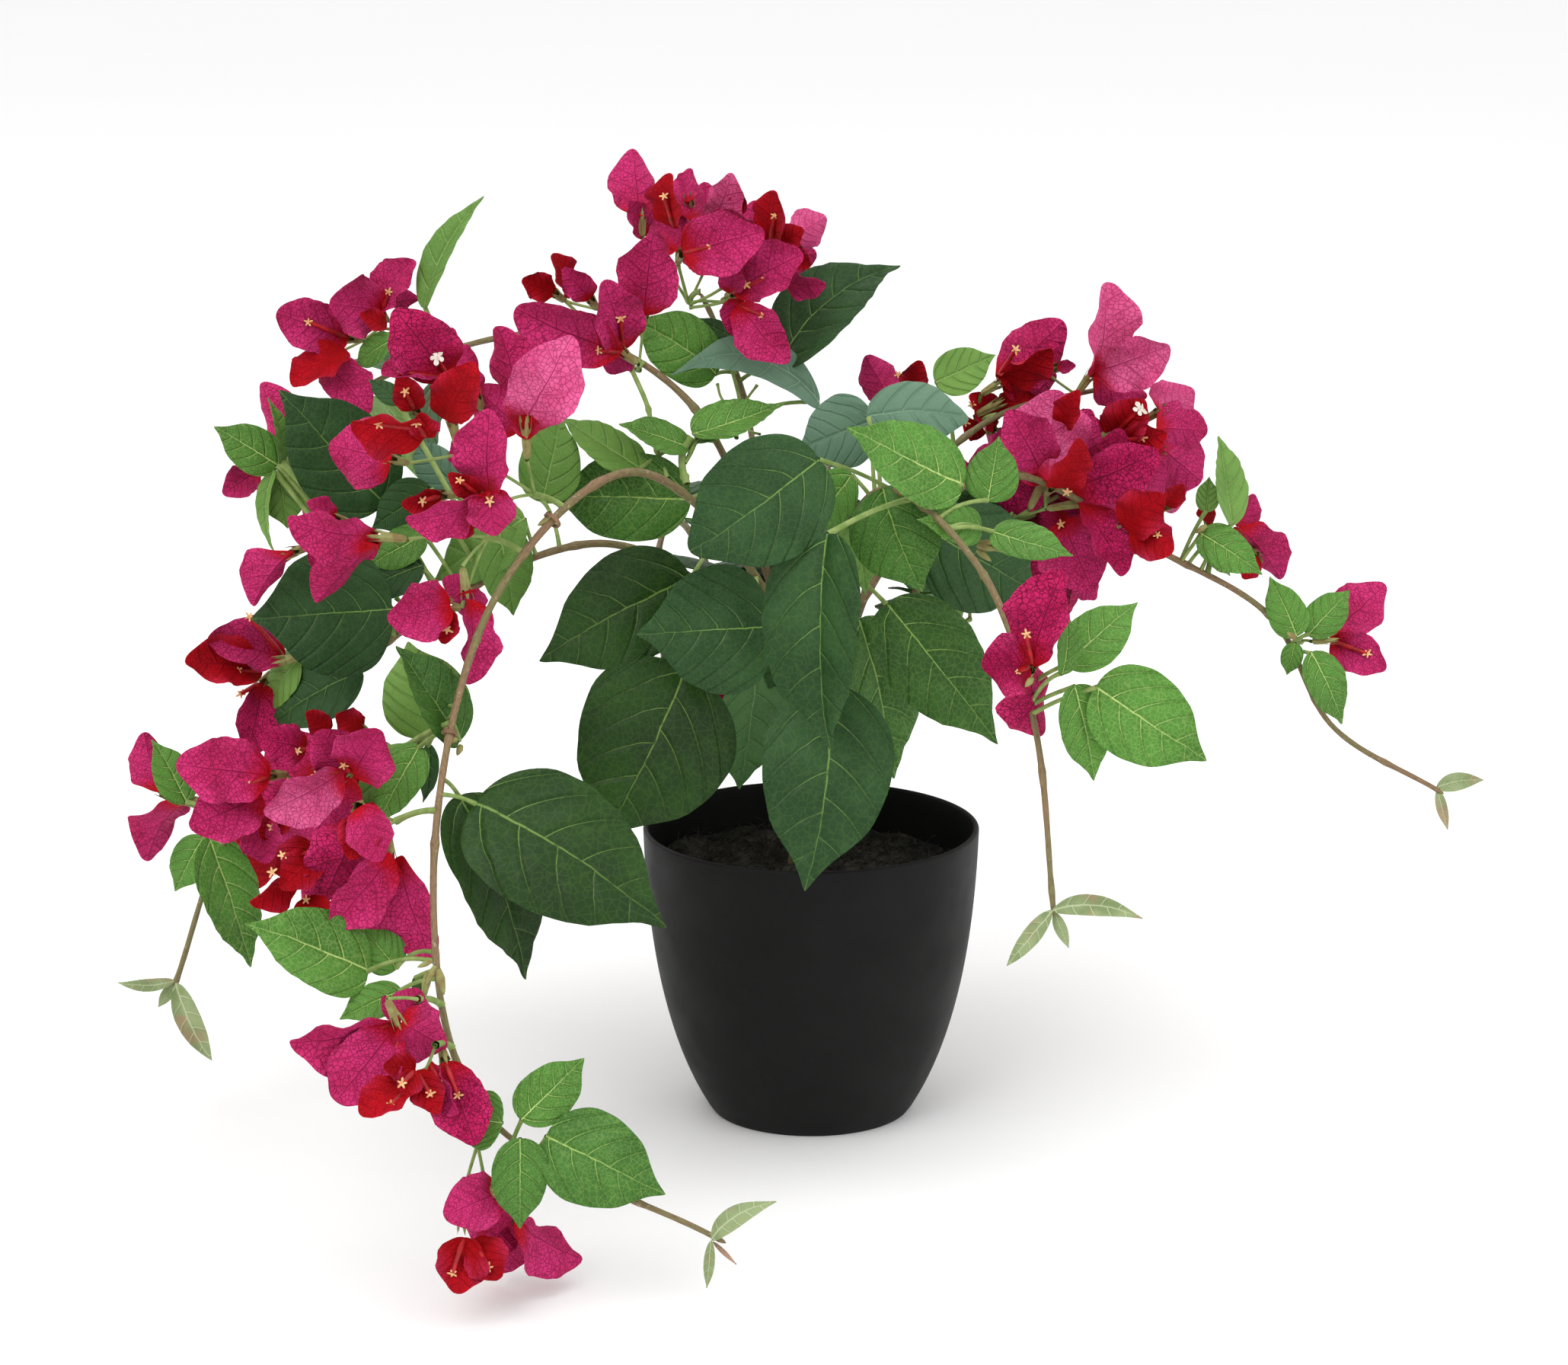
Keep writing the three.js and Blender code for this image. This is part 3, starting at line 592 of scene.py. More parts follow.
class Sheaf:
    """Grids of points that are joined into one mesh with a blade map and a bake map."""

    def __init__(self, seed, shows=False):
        self.random = Random(seed)
        self.shows = shows
        self.points = []
        self.quads = []
        self.blade_places = []
        self.flat_places = []
        self.islands = []
        self.slots = []
        self.point_count = 0
        self.island_count = 0
        self.blade_count = 0

    def add(self, points, slot, flat, blade=None, wrap=False, flip=False, cut=None):
        """Adds a grid of points. flat gives their places in millimetres on the bake map, blade those on the
        blade map, and cut the rows to an island."""
        rows, columns = points.shape[:2]
        index = np.arange(rows * columns).reshape(rows, columns) + self.point_count
        if wrap:
            index = np.concatenate([index, index[:, :1]], axis=1)
        blade = flat / 10 if blade is None else blade
        turn = (0, 1, 2, 3) if flip else (0, 3, 2, 1)

        def corners(grid):
            four = (grid[:-1, :-1], grid[:-1, 1:], grid[1:, 1:], grid[1:, :-1])
            return np.stack([four[k] for k in turn], axis=2)

        count = (rows - 1) * (index.shape[1] - 1)
        cut = cut or rows
        band = np.repeat(np.arange(rows - 1) // cut, index.shape[1] - 1)
        self.points.append(points.reshape(-1, 3))
        self.quads.append(corners(index).reshape(count, 4))
        self.flat_places.append(corners(flat).reshape(count, 4, 2))
        self.blade_places.append(corners(blade).reshape(count, 4, 2))
        self.islands.append(band + self.island_count)
        self.slots.append(np.full(count, slot))
        self.point_count += rows * columns
        self.island_count += int(band.max()) + 1

    def cell(self):
        """The next free cell of the blade map."""
        self.blade_count += 1
        return np.array([self.blade_count % CELLS, self.blade_count // CELLS], float)

    def mesh_object(self, name, materials):
        """The object that all the grids make."""
        points = np.concatenate(self.points) / MM
        quads = np.concatenate(self.quads)
        mesh = bpy.data.meshes.new(name)
        mesh.vertices.add(len(points))
        mesh.vertices.foreach_set("co", points.astype(np.float32).ravel())
        mesh.loops.add(quads.size)
        mesh.loops.foreach_set("vertex_index", quads.astype(np.int32).ravel())
        mesh.polygons.add(len(quads))
        mesh.polygons.foreach_set("loop_start", np.arange(0, quads.size, 4, dtype=np.int32))
        mesh.polygons.foreach_set("loop_total", np.full(len(quads), 4, dtype=np.int32))
        mesh.polygons.foreach_set("material_index", np.concatenate(self.slots).astype(np.int32))
        mesh.polygons.foreach_set("use_smooth", np.ones(len(quads), dtype=bool))
        bake = self.bake_places()
        for map_name, places in ((BAKE_MAP, bake), (BLADE_MAP, np.concatenate(self.blade_places))):
            layer = mesh.uv_layers.new(name=map_name)
            layer.data.foreach_set("uv", places.astype(np.float32).ravel())
        for material in materials:
            mesh.materials.append(material)
        mesh.update(calc_edges=True)
        if mesh.validate():
            raise RuntimeError(f"{name} has faces that are not sound")
        made = bpy.data.objects.new(name, mesh)
        bpy.context.scene.collection.objects.link(made)
        return made

    def bake_places(self):
        """Every corner's place on the bake map, with the islands set on shelves."""
        flat = np.concatenate(self.flat_places)
        island = np.concatenate(self.islands)
        low = np.full((self.island_count, 2), 1e9)
        high = np.full((self.island_count, 2), -1e9)
        np.minimum.at(low, island, flat.min(axis=1))
        np.maximum.at(high, island, flat.max(axis=1))
        places, side = shelved(high - low + BAKE_GAP)
        return (flat - low[island][:, None] + places[island][:, None] + BAKE_GAP / 2) / side


def shelved(sizes):
    """Where each box goes when they stand on shelves in a square, and the square's side."""
    order = np.argsort(-sizes[:, 1])
    side = max(math.sqrt(float(sizes.prod(axis=1).sum())), float(sizes.max()))
    while True:
        places = np.zeros_like(sizes)
        across = shelf = tall = 0.0
        for k in order:
            if across + sizes[k, 0] > side:
                shelf += tall
                across = tall = 0.0
            places[k] = across, shelf
            across += sizes[k, 0]
            tall = max(tall, sizes[k, 1])
        if shelf + tall <= side:
            return places, side
        side *= SHELF_GROWTH


def outline(along, form, rng):
    """Half the blade's width at each share of its length, as a share of the greatest."""
    foot, tip = form.foot * rng.uniform(0.9, 1.12), form.tip * rng.uniform(0.9, 1.12)
    near_tip = np.clip((along - DRAWN_FROM) / DRAWN_RUN, 0, 1)
    full = along**foot * (1 - along) ** tip * (1 - form.drawn * near_tip**2 * (3 - 2 * near_tip))
    return full / full.max()


def edge_shape(form, width, along, rng):
    """Half the width and the lift of one side of a blade, with their small differences."""
    uneven = 1.0
    for share, least, most in EDGE_WAVES:
        turns = along * rng.uniform(least, most) + rng.uniform(0, ANY_TURN)
        uneven = uneven + form.wave * share * np.sin(turns)
    half = np.maximum(width / 2 * outline(along, form, rng) * uneven, LEAST_HALF)
    ripple = np.sin(2 * np.pi * (form.waves * rng.uniform(0.7, 1.3) * along + rng.uniform(0, 1)))
    return half, form.cup * rng.uniform(0.3, 1.7) + form.wave * ripple


def add_skins(sheaf, surface, thick, flat, blade, top, under):
    """The upper and the under skin of a thin closed sheet, which meet all along its edge."""
    normals = np.cross(np.gradient(surface, axis=0), np.gradient(surface, axis=1))
    normals /= np.maximum(np.linalg.norm(normals, axis=2, keepdims=True), 1e-9)
    half_thick = np.full(surface.shape[:2], thick / 2)
    half_thick[0] = half_thick[-1] = 0
    half_thick[:, 0] = half_thick[:, -1] = 0
    offset = normals * half_thick[:, :, None]
    sheaf.add(surface + offset, top, flat, blade)
    sheaf.add(surface - offset, under, flat, blade, flip=True)


def add_blade(sheaf, form, foot, tip, facing, width, top, under, fold, sway=0.0, arch=None):
    """A leaf or bract from foot to tip whose upper side looks the way it faces."""
    rng = sheaf.random
    length = float(np.linalg.norm(tip - foot))
    ahead = unit(tip - foot)
    normal = square_to(facing, ahead)
    across = np.cross(normal, ahead)
    along = (1 - np.cos(np.linspace(FOOT_TURN, math.pi - TIP_TURN, form.rows))) / 2
    side = np.linspace(-1, 1, form.columns + 1)
    left_half, left_lift = edge_shape(form, width, along, rng)
    right_half, right_lift = edge_shape(form, width, along, rng)
    left = side[None, :] < 0
    half = np.where(left, left_half[:, None], right_half[:, None])
    lift = np.where(left, left_lift[:, None], right_lift[:, None])
    fold = math.radians(fold)
    twist = math.radians(rng.uniform(-TWIST, TWIST)) * (along - 0.3)
    spread = side[None, :] * half
    quilt = np.cos(2 * np.pi * VEIN_PAIRS * vein_line(along[:, None], np.abs(spread) / length))
    bend = half * (np.abs(side) * math.sin(fold))[None, :] + lift * half * (side**2)[None, :]
    bend = bend - form.quilt * width * quilt * np.minimum(np.abs(side) * 2, 1)[None, :]
    level = spread * math.cos(fold)
    x = level * np.cos(twist)[:, None] - bend * np.sin(twist)[:, None]
    z = level * np.sin(twist)[:, None] + bend * np.cos(twist)[:, None]
    arch = form.arch * rng.uniform(0.5, 1.5) if arch is None else arch
    curl = form.curl * rng.uniform(-1, 1) * np.maximum(along - CURL_FROM, 0) ** 2
    bow = 4 * along * (1 - along)
    z = z + (length * (arch * bow + curl))[:, None]
    x = x + (sway * length * bow)[:, None]
    surface = foot + ahead * (length * along)[:, None, None] + across * x[:, :, None]
    surface = surface + normal * z[:, :, None]
    if sheaf.shows:
        cover(surface)
    flat = np.stack([spread, np.broadcast_to((along * length)[:, None], spread.shape)], axis=2)
    share = CELL_SHARE / max(length, CELL_WIDTH * width)
    blade = np.stack([0.5 + share * spread, CELL_FOOT + share * flat[:, :, 1]], axis=2) + sheaf.cell()
    add_skins(sheaf, surface, form.thick, flat, blade, top, under)


def unrolled(sides, girth, run):
    """The flat places of a round piece: its girth in equal parts by how far along it each ring lies."""
    around = np.arange(sides + 1) / sides * girth
    return np.stack(np.broadcast_arrays(around[None, :], np.reshape(run, (-1, 1))), axis=2)


def add_tube(sheaf, line, radii, slot, sides, ribs=0, rib_depth=0.0, spin=0.0, cut=None, teeth=0.0):
    """A tube along a line of points. It may have ribs, which spin as it goes, and teeth round its mouth."""
    line = np.asarray(line, float)
    radii = np.broadcast_to(np.asarray(radii, float), (len(line),))
    ahead = np.gradient(line, axis=0)
    ahead /= np.maximum(np.linalg.norm(ahead, axis=1, keepdims=True), 1e-9)
    right = square_to(TUBE_SEAM, ahead[0])
    angle = np.arange(sides) / sides * 2 * math.pi
    run = run_along(line)
    rings = []
    for k, centre in enumerate(line):
        right = square_to(right, ahead[k])
        other = np.cross(ahead[k], right)
        turn = angle + spin * run[k]
        radius = radii[k] * (1 + rib_depth * np.cos(ribs * angle))
        ring = centre + right * (np.cos(turn) * radius)[:, None] + other * (np.sin(turn) * radius)[:, None]
        if teeth and k == len(line) - 1:
            ring = ring + ahead[k] * (teeth * np.maximum(np.cos(ribs * angle), TOOTH_NOTCH))[:, None]
        rings.append(ring)
    flat = unrolled(sides, 2 * math.pi * float(radii.mean()), run)
    sheaf.add(np.array(rings), slot, flat, wrap=True, flip=True, cut=cut)


def add_lathe(sheaf, profile, segments, slot, cut):
    """A turned shape from its profile of radius and height, cut into rings of rows on the bake map."""
    profile = np.asarray(profile, float)
    angle = np.arange(segments) / segments * 2 * math.pi
    points = np.stack(np.broadcast_arrays(
        profile[:, :1] * np.cos(angle), profile[:, :1] * np.sin(angle), profile[:, 1:]), axis=2)
    girth = 2 * math.pi * float(profile[:, 0].mean())
    sheaf.add(points, slot, unrolled(segments, girth, run_along(profile)), wrap=True, flip=True, cut=cut)


# ---------------------------------------------------------------- materials


def linear(colour):
    """A colour in linear light, from a six-digit web colour or from a setting."""
    if not isinstance(colour, str):
        return (*colour, 1.0)
    parts = [int(colour[k:k + 2], 16) / 255 for k in (0, 2, 4)]
    return tuple(c / 12.92 if c <= 0.04045 else ((c + 0.055) / 1.055) ** 2.4 for c in parts) + (1.0,)


class Finish:
    """A material that is built up from nodes."""

    def __init__(self, name, **plain):
        self.material = bpy.data.materials.new(name)
        self.material.use_nodes = True
        self.tree = self.material.node_tree
        self.shader = self.tree.nodes["Principled BSDF"]
        for key, value in plain.items():
            self.shader.inputs[key.replace("_", " ")].default_value = value

    def node(self, kind, output=0, inputs=(), **settings):
        """A new node's output, with its inputs given by number or name and its settings by name."""
        made = self.tree.nodes.new(kind)
        for key, value in settings.items():
            setattr(made, key, value)
        for key, value in dict(inputs).items():
            self.put(made.inputs[key], value)
        return made.outputs[output]

    def put(self, socket, value):
        """Gives the socket a value or another node's output."""
        if isinstance(value, bpy.types.NodeSocket):
            self.tree.links.new(value, socket)
        else:
            socket.default_value = value

    def math(self, operation, first, second=0.0, third=0.0):
        """Two or three values in one sum."""
        return self.node("ShaderNodeMath", 0, {0: first, 1: second, 2: third}, operation=operation)

    def fit(self, value, low, high, start=0.0, end=1.0):
        """A smooth ramp from start to end as the value goes from low to high."""
        ends = {0: value, 1: low, 2: high, 3: start, 4: end}
        return self.node("ShaderNodeMapRange", 0, ends, interpolation_type="SMOOTHSTEP")

    def blend(self, share, first, second):
        """From the first colour to the second as the share goes from 0 to 1."""
        return self.node("ShaderNodeMix", 2, {0: share, 6: first, 7: second}, data_type="RGBA")

    def place(self):
        """The place on the plant, in metres."""
        return self.node("ShaderNodeTexCoord", 3)

    def noise(self, vector, scale, detail, rough=0.55):
        """Cloudy noise, mostly from 0.3 to 0.7."""
        inputs = {"Vector": vector, "Scale": scale, "Detail": detail, "Roughness": rough}
        return self.node("ShaderNodeTexNoise", 0, inputs)

    def net(self, vector, scale):
        """The distance to the nearest edge of a net of cells."""
        inputs = {"Vector": vector, "Scale": scale, "Randomness": 0.9}
        return self.node("ShaderNodeTexVoronoi", 0, inputs, feature="DISTANCE_TO_EDGE")

    def stretch(self, vector, scale):
        """The places scaled by a factor along each axis."""
        return self.node("ShaderNodeMapping", 0, {"Vector": vector, "Scale": scale})

    def bump(self, height, distance, strength):
        """Bumps of this height in metres."""
        return self.node("ShaderNodeBump", 0, {"Height": height, "Distance": distance, "Strength": strength})

    def finish(self, colour, roughness, normal=None):
        """Ties the colour, the roughness and the bumps to the shader and gives the material."""
        self.put(self.shader.inputs["Base Color"], colour)
        self.put(self.shader.inputs["Roughness"], roughness)
        if normal is not None:
            self.put(self.shader.inputs["Normal"], normal)
        return self.material


ROUGHNESS_SPREAD = 0.08  # how much rougher or smoother a leaf is here and there


def blade_parts(finish, waver=0.03):
    """The blade map, how far along the blade and how far from its midrib a point is, and its side."""
    uv = finish.node("ShaderNodeUVMap", 0, uv_map=BLADE_MAP)
    parts = finish.node("ShaderNodeSeparateXYZ", 0, {0: uv}).node
    drift = finish.math("SUBTRACT", finish.noise(uv, scale=5.0, detail=2.0), 0.5)
    drift = finish.math("MULTIPLY", drift, waver)
    across = finish.math("SUBTRACT", finish.math("FRACT", parts.outputs[0]), 0.5)
    across = finish.math("DIVIDE", finish.math("ADD", across, drift), CELL_SHARE)
    along = finish.math("SUBTRACT", finish.math("FRACT", parts.outputs[1]), CELL_FOOT)
    along = finish.math("DIVIDE", along, CELL_SHARE)
    return uv, finish.math("ADD", along, drift), finish.math("ABSOLUTE", across), finish.math("SIGN", across)


def vein_parts(finish, along, away, side, rib, slim, fade):
    """The midrib, the side veins and the hollows beside them, each from 0 to 1."""
    taper = finish.math("MULTIPLY_ADD", along, -0.8 * rib, 1.2 * rib)
    midrib = finish.fit(finish.math("DIVIDE", away, taper), 0.4, 1.2, start=1.0, end=0.0)
    leaves = finish.math("MULTIPLY_ADD", away, -VEIN_SWEEP[0], along)
    leaves = finish.math("MULTIPLY_ADD", finish.math("MULTIPLY", away, away), -VEIN_SWEEP[1], leaves)
    leaves = finish.math("MULTIPLY_ADD", side, VEIN_STAGGER, leaves)
    turns = finish.math("PINGPONG", finish.math("MULTIPLY", leaves, VEIN_PAIRS), 0.5)
    near = finish.math("DIVIDE", turns, VEIN_PAIRS)
    slender = finish.math("MULTIPLY_ADD", away, -1.3 * slim, slim)
    laterals = finish.fit(finish.math("DIVIDE", near, slender), 0.3, 1.3, start=1.0, end=0.0)
    laterals = finish.math("MULTIPLY", laterals, finish.fit(away, 0.03, fade, start=0.95, end=0.08))
    beside_laterals = finish.fit(near, 0.0, 0.03, start=1.0, end=0.0)
    beside_midrib = finish.fit(away, 0.0, 0.04, start=1.0, end=0.0)
    hollow = finish.math("MAXIMUM", beside_laterals, beside_midrib)
    return finish.math("MAXIMUM", midrib, laterals), hollow


def leaf_finish(name, blade, shade, vein, net_share=0.1, vein_share=0.85, rib=0.0056):
    """Silk leaf: printed veins with painted shade in the hollows beside them, broad patches of painted light
    and shade over its own mottle, a pale net and flecks, and a woven grain.
    """
    finish = Finish(name, Specular_IOR_Level=0.22)
    rough = bpy.context.scene.bougainvillea_leaves.roughness
    uv, along, away, side = blade_parts(finish)
    vein_part, hollow = vein_parts(finish, along, away, side, rib, 0.6 * rib, 0.34)
    place = finish.place()
    # The fine noise is the silk's own mottle. The broad noise adds painted light and shade in patches across
    # the leaf.
    mottle_and_painted_shading = finish.math("MULTIPLY", finish.noise(place, scale=45.0, detail=4.0), 0.45)
    mottle_and_painted_shading = finish.math("MULTIPLY_ADD", finish.noise(place, scale=17.0, detail=2.0), 0.55, mottle_and_painted_shading)
    body = finish.blend(finish.fit(mottle_and_painted_shading, 0.38, 0.62), linear(shade), linear(blade))
    # Painted shade: the hollows beside the midrib and the side veins are darkened toward the shade colour.
    body = finish.blend(finish.math("MULTIPLY", hollow, 0.4), body, linear(shade))
    net = finish.fit(finish.net(uv, scale=34.0), 0.02, 0.09, start=net_share, end=0.0)
    stretched = finish.stretch(uv, (60.0, 26.0, 1.0))
    specks = finish.noise(stretched, scale=1.6, detail=3.0, rough=0.7)
    flecks = finish.fit(specks, 0.63, 0.72, start=0.0, end=0.24)
    pale = finish.math("MAXIMUM", net, finish.math("MULTIPLY", flecks, 0.8))
    body = finish.blend(pale, body, linear(vein))
    broken = finish.fit(finish.noise(uv, scale=22.0, detail=2.0), 0.36, 0.5, start=0.45, end=1.0)
    fading = finish.fit(along, 0.1, 0.95, start=vein_share, end=0.35 * vein_share)
    veins = finish.math("MULTIPLY", vein_part, finish.math("MULTIPLY", fading, broken))
    colour = finish.blend(veins, body, linear(vein))
    weave = finish.noise(place, scale=1500.0, detail=2.0)
    height = finish.math("MULTIPLY_ADD", weave, 0.15, finish.math("MULTIPLY", hollow, -1.0))
    patches = finish.noise(place, scale=120.0, detail=3.0)
    roughness = finish.fit(patches, 0.3, 0.7, start=rough - ROUGHNESS_SPREAD, end=rough + ROUGHNESS_SPREAD)
    return finish.finish(colour, roughness, finish.bump(height, distance=0.0006, strength=0.8))


def bract_finish(name, blade, shade, vein, red, red_reach, net_share):
    """Papery bract: a fine net of darker veins on rose, a lighter rim that is partly painted highlight, and
    red where it is joined.
    """
    finish = Finish(name, Specular_IOR_Level=0.12)
    uv, along, away, side = blade_parts(finish, 0.035)
    vein_part, hollow = vein_parts(finish, along, away, side, 0.010, 0.006, 0.6)
    place = finish.place()
    mottle = finish.fit(finish.noise(place, scale=60.0, detail=3.0), 0.33, 0.67)
    body = finish.blend(mottle, linear(shade), linear(blade))
    # Lighter towards the edges: partly the bract's own paler margin, partly a painted highlight on its curled
    # rim.
    pale_rim_and_painted_highlight = finish.fit(away, 0.12, 0.5, start=0.0, end=0.3)
    body = finish.blend(pale_rim_and_painted_highlight, body, linear("D84A84"))
    net = finish.fit(finish.net(uv, scale=28.0), 0.0, 0.075, start=net_share, end=0.0)
    lines = finish.math("MAXIMUM", finish.math("MULTIPLY", vein_part, 0.85), net)
    colour = finish.blend(lines, body, linear(vein))
    wander = finish.math("MULTIPLY_ADD", finish.noise(uv, scale=4.0, detail=2.0), 0.3, -0.15)
    joined = finish.fit(finish.math("ADD", along, wander), 0.04, red_reach, start=1.0, end=0.0)
    colour = finish.blend(joined, colour, linear(red))
    grain = finish.noise(place, scale=1300.0, detail=2.0)
    height = finish.math("MULTIPLY_ADD", grain, 0.2, finish.math("MAXIMUM", lines, hollow))
    return finish.finish(colour, 0.74, finish.bump(height, distance=0.0005, strength=0.85))


def plain_finish(name, light, dark, rough, scale, **plain):
    """A mottled finish with a fine grain."""
    finish = Finish(name, **plain)
    place = finish.place()
    mottle = finish.fit(finish.noise(place, scale=scale, detail=4.0), 0.35, 0.65)
    grain = finish.noise(place, scale=4 * scale, detail=3.0)
    body = finish.blend(mottle, linear(dark), linear(light))
    return finish.finish(body, rough, finish.bump(grain, distance=0.0003, strength=0.6))


def stem_finish():
    """Coated stem: brown and green-grey in blotches, with long fibres and pale specks."""
    finish = Finish("stem_bark", Specular_IOR_Level=0.4)
    uv = finish.node("ShaderNodeUVMap", 0, uv_map=BLADE_MAP)
    place = finish.place()
    stretched = finish.stretch(uv, (9.0, 0.9, 1.0))
    fibre = finish.noise(stretched, scale=3.0, detail=4.0)
    blotch = finish.fit(finish.noise(place, scale=22.0, detail=3.0), 0.36, 0.56)
    body = finish.blend(blotch, linear("8F7252"), linear("7B7849"))
    body = finish.blend(finish.fit(fibre, 0.3, 0.62), linear("6B5239"), body)
    pale = finish.fit(finish.noise(place, scale=420.0, detail=2.0), 0.62, 0.72, start=0.0, end=0.5)
    body = finish.blend(pale, body, linear("B5A888"))
    rough = finish.fit(fibre, 0.3, 0.7, start=0.62, end=0.45)
    return finish.finish(body, rough, finish.bump(fibre, distance=0.0005, strength=0.8))


def pot_finish():
    """Matt moulded plastic with a fine spark-eroded grain and faint handling marks."""
    finish = Finish("pot_plastic", Specular_IOR_Level=0.17)
    place = finish.place()
    cloud = finish.fit(finish.noise(place, scale=9.0, detail=4.0), 0.3, 0.7)
    body = finish.blend(cloud, linear("070807"), linear(bpy.context.scene.bougainvillea_pot.plastic))
    stretched = finish.stretch(place, (1.0, 1.0, 5.0))
    scuff = finish.noise(stretched, scale=60.0, detail=5.0, rough=0.7)
    marks = finish.fit(scuff, 0.66, 0.8, start=0.0, end=0.35)
    body = finish.blend(marks, body, linear("1E1F1E"))
    rough = finish.fit(finish.noise(place, scale=40.0, detail=4.0), 0.3, 0.7, start=0.52, end=0.62)
    grain = finish.noise(place, scale=1800.0, detail=2.0, rough=0.6)
    return finish.finish(body, rough, finish.bump(grain, distance=0.00018, strength=0.55))


def moss_finish():
    """Dyed black moss, dull and fibrous."""
    finish = Finish("dyed_moss", Specular_IOR_Level=0.2)
    place = finish.place()
    clump = finish.fit(finish.noise(place, scale=120.0, detail=5.0, rough=0.7), 0.35, 0.7)
    body = finish.blend(clump, linear("1D1C19"), linear("47453D"))
    rusty = finish.fit(finish.noise(place, scale=45.0, detail=3.0), 0.58, 0.72, start=0.0, end=0.35)
    body = finish.blend(rusty, body, linear("362C22"))
    height = finish.noise(place, scale=700.0, detail=5.0, rough=0.75)
    return finish.finish(body, 0.92, finish.bump(height, distance=0.0012, strength=0.9))


def young_finish(name, blade, shade, blush, blush_share):
    """A young leaf: pale green with a pink blush and faint veins."""
    finish = Finish(name, Specular_IOR_Level=0.25)
    _, along, away, side = blade_parts(finish)
    vein_part, hollow = vein_parts(finish, along, away, side, 0.012, 0.008, 0.4)
    place = finish.place()
    mottle = finish.fit(finish.noise(place, scale=90.0, detail=3.0), 0.35, 0.65)
    body = finish.blend(mottle, linear(shade), linear(blade))
    pink = finish.fit(finish.noise(place, scale=60.0, detail=3.0), 0.5, 0.66, start=0.0, end=blush_share)
    body = finish.blend(pink, body, linear(blush))
    colour = finish.blend(finish.math("MULTIPLY", vein_part, 0.5), body, linear("D5DBB4"))
    return finish.finish(colour, 0.6, finish.bump(hollow, distance=0.0004, strength=0.6))


def leaf_finishes():
    """The leaf finishes in the order of their slots."""
    settings = bpy.context.scene.bougainvillea_leaves
    return [
        leaf_finish("leaf_dark", settings.dark, "1E3E1A", "82A552", 0.06, 0.72),
        leaf_finish("leaf_olive", "21420E", "16310A", "7C9C48", 0.06, 0.72),
        leaf_finish("leaf_green", "355D1E", "264A15", "90B058", 0.12),
        leaf_finish("leaf_mid", "43722A", "325C1D", "A2C066", 0.16, rib=0.0068),
        leaf_finish("leaf_bright", settings.bright, "3D6B22", "BCD37C", 0.16, 0.9, 0.0078),
        # Grey-green with a painted bluish sheen, for the leaves of tone S.
        leaf_finish("leaf_slate_painted_sheen", "62816A", "4F7059", "9BB592", 0.06, 0.5),
        leaf_finish("leaf_pale", "6C9442", "588035", "ADC478", 0.1, 0.55, 0.0068),
        leaf_finish("leaf_underside", "577F4A", "456B3A", "8DAE76", 0.1, 0.6),
        young_finish("young_leaf_pale", "94A376", "7E8E60", "AE7A6A", 0.5),
        young_finish("young_leaf_pink", "B08A78", "96705E", "A0605A", 0.6),
    ]


LEAF_TONES = {"D": 0, "W": 1, "G": 2, "M": 3, "B": 4, "S": 5, "Y": 6, "U": 7, "N": 8, "K": 9}
UNDERSIDES = {"D": 7, "W": 7, "G": 7, "M": 7, "B": 6, "S": 7, "Y": 6, "U": 0, "N": 8, "K": 9}


def bract_finishes():
    """The blossom finishes in the order of their slots."""
    settings = bpy.context.scene.bougainvillea_blossom
    red = settings.red_reach
    return [
        bract_finish("bract_rose", settings.rose, "B4245A", "66062C", "B60819", red, 0.66),
        bract_finish("bract_veined", "C42260", "A2144A", "4A021E", "A60616", red * 1.1, 0.8),
        bract_finish("bract_red", settings.red, "9C0614", "680110", "A6040E", red * 2.2, 0.45),
        # Pale rose: partly the bract's own tone, partly a painted glow of light shining through the thin
        # bract.
        bract_finish("bract_pale_painted_glow", "E4659A", "D44C82", "8C1C4E", "BE1632", red * 0.8, 0.62),
        plain_finish("flower_tube", "BC0C18", "8E060E", 0.55, 300.0),
        plain_finish("flower_star", "EDC48A", "DC9E68", 0.6, 500.0),
        plain_finish("flower_star_white", "F1ECE2", "E0D4C0", 0.6, 500.0),
    ]


BRACT_TONES = {"P": 0, "D": 1, "R": 2, "L": 3}
TUBE_SLOT, STAR_SLOT, WHITE_STAR_SLOT = 4, 5, 6


# ---------------------------------------------------------------- leaves, flowers and twigs

TWIGS = Sheaf(11)
TWIG_SLOT, CALYX_SLOT, WIRE_SLOT = 0, 1, 2

# Stalks: radius and the places they pass, each by column and row in the frame and how far back it lies.
FRAME_STALKS = (
    (1.25, ((829, 484, 52), (851, 536, 44), (857, 575, 36), (877, 627, 24))),
    (0.9, ((961, 486, 78), (970, 521, 70), (972, 547, 60), (967, 575, 48))),
    (0.7, ((942, 504, 72), (946, 520, 68), (958, 536, 62), (971, 548, 60))),
    (0.7, ((994, 506, 74), (981, 524, 68), (974, 545, 60))),
    (0.7, ((973, 553, 58), (985, 566, 52), (998, 570, 46))),
    (1.9, ((908, 574, 30), (897, 592, 28), (896, 614, 24), (902, 636, 18))),
    (1.2, ((914, 578, 31), (907, 594, 29), (899, 608, 25))),
    (0.8, ((906, 400, 90), (932, 388, 84), (958, 372, 80))),
    (0.8, ((906, 404, 90), (944, 398, 84), (966, 388, 80))),
    (0.8, ((904, 398, 90), (898, 376, 86), (891, 348, 82))),
)
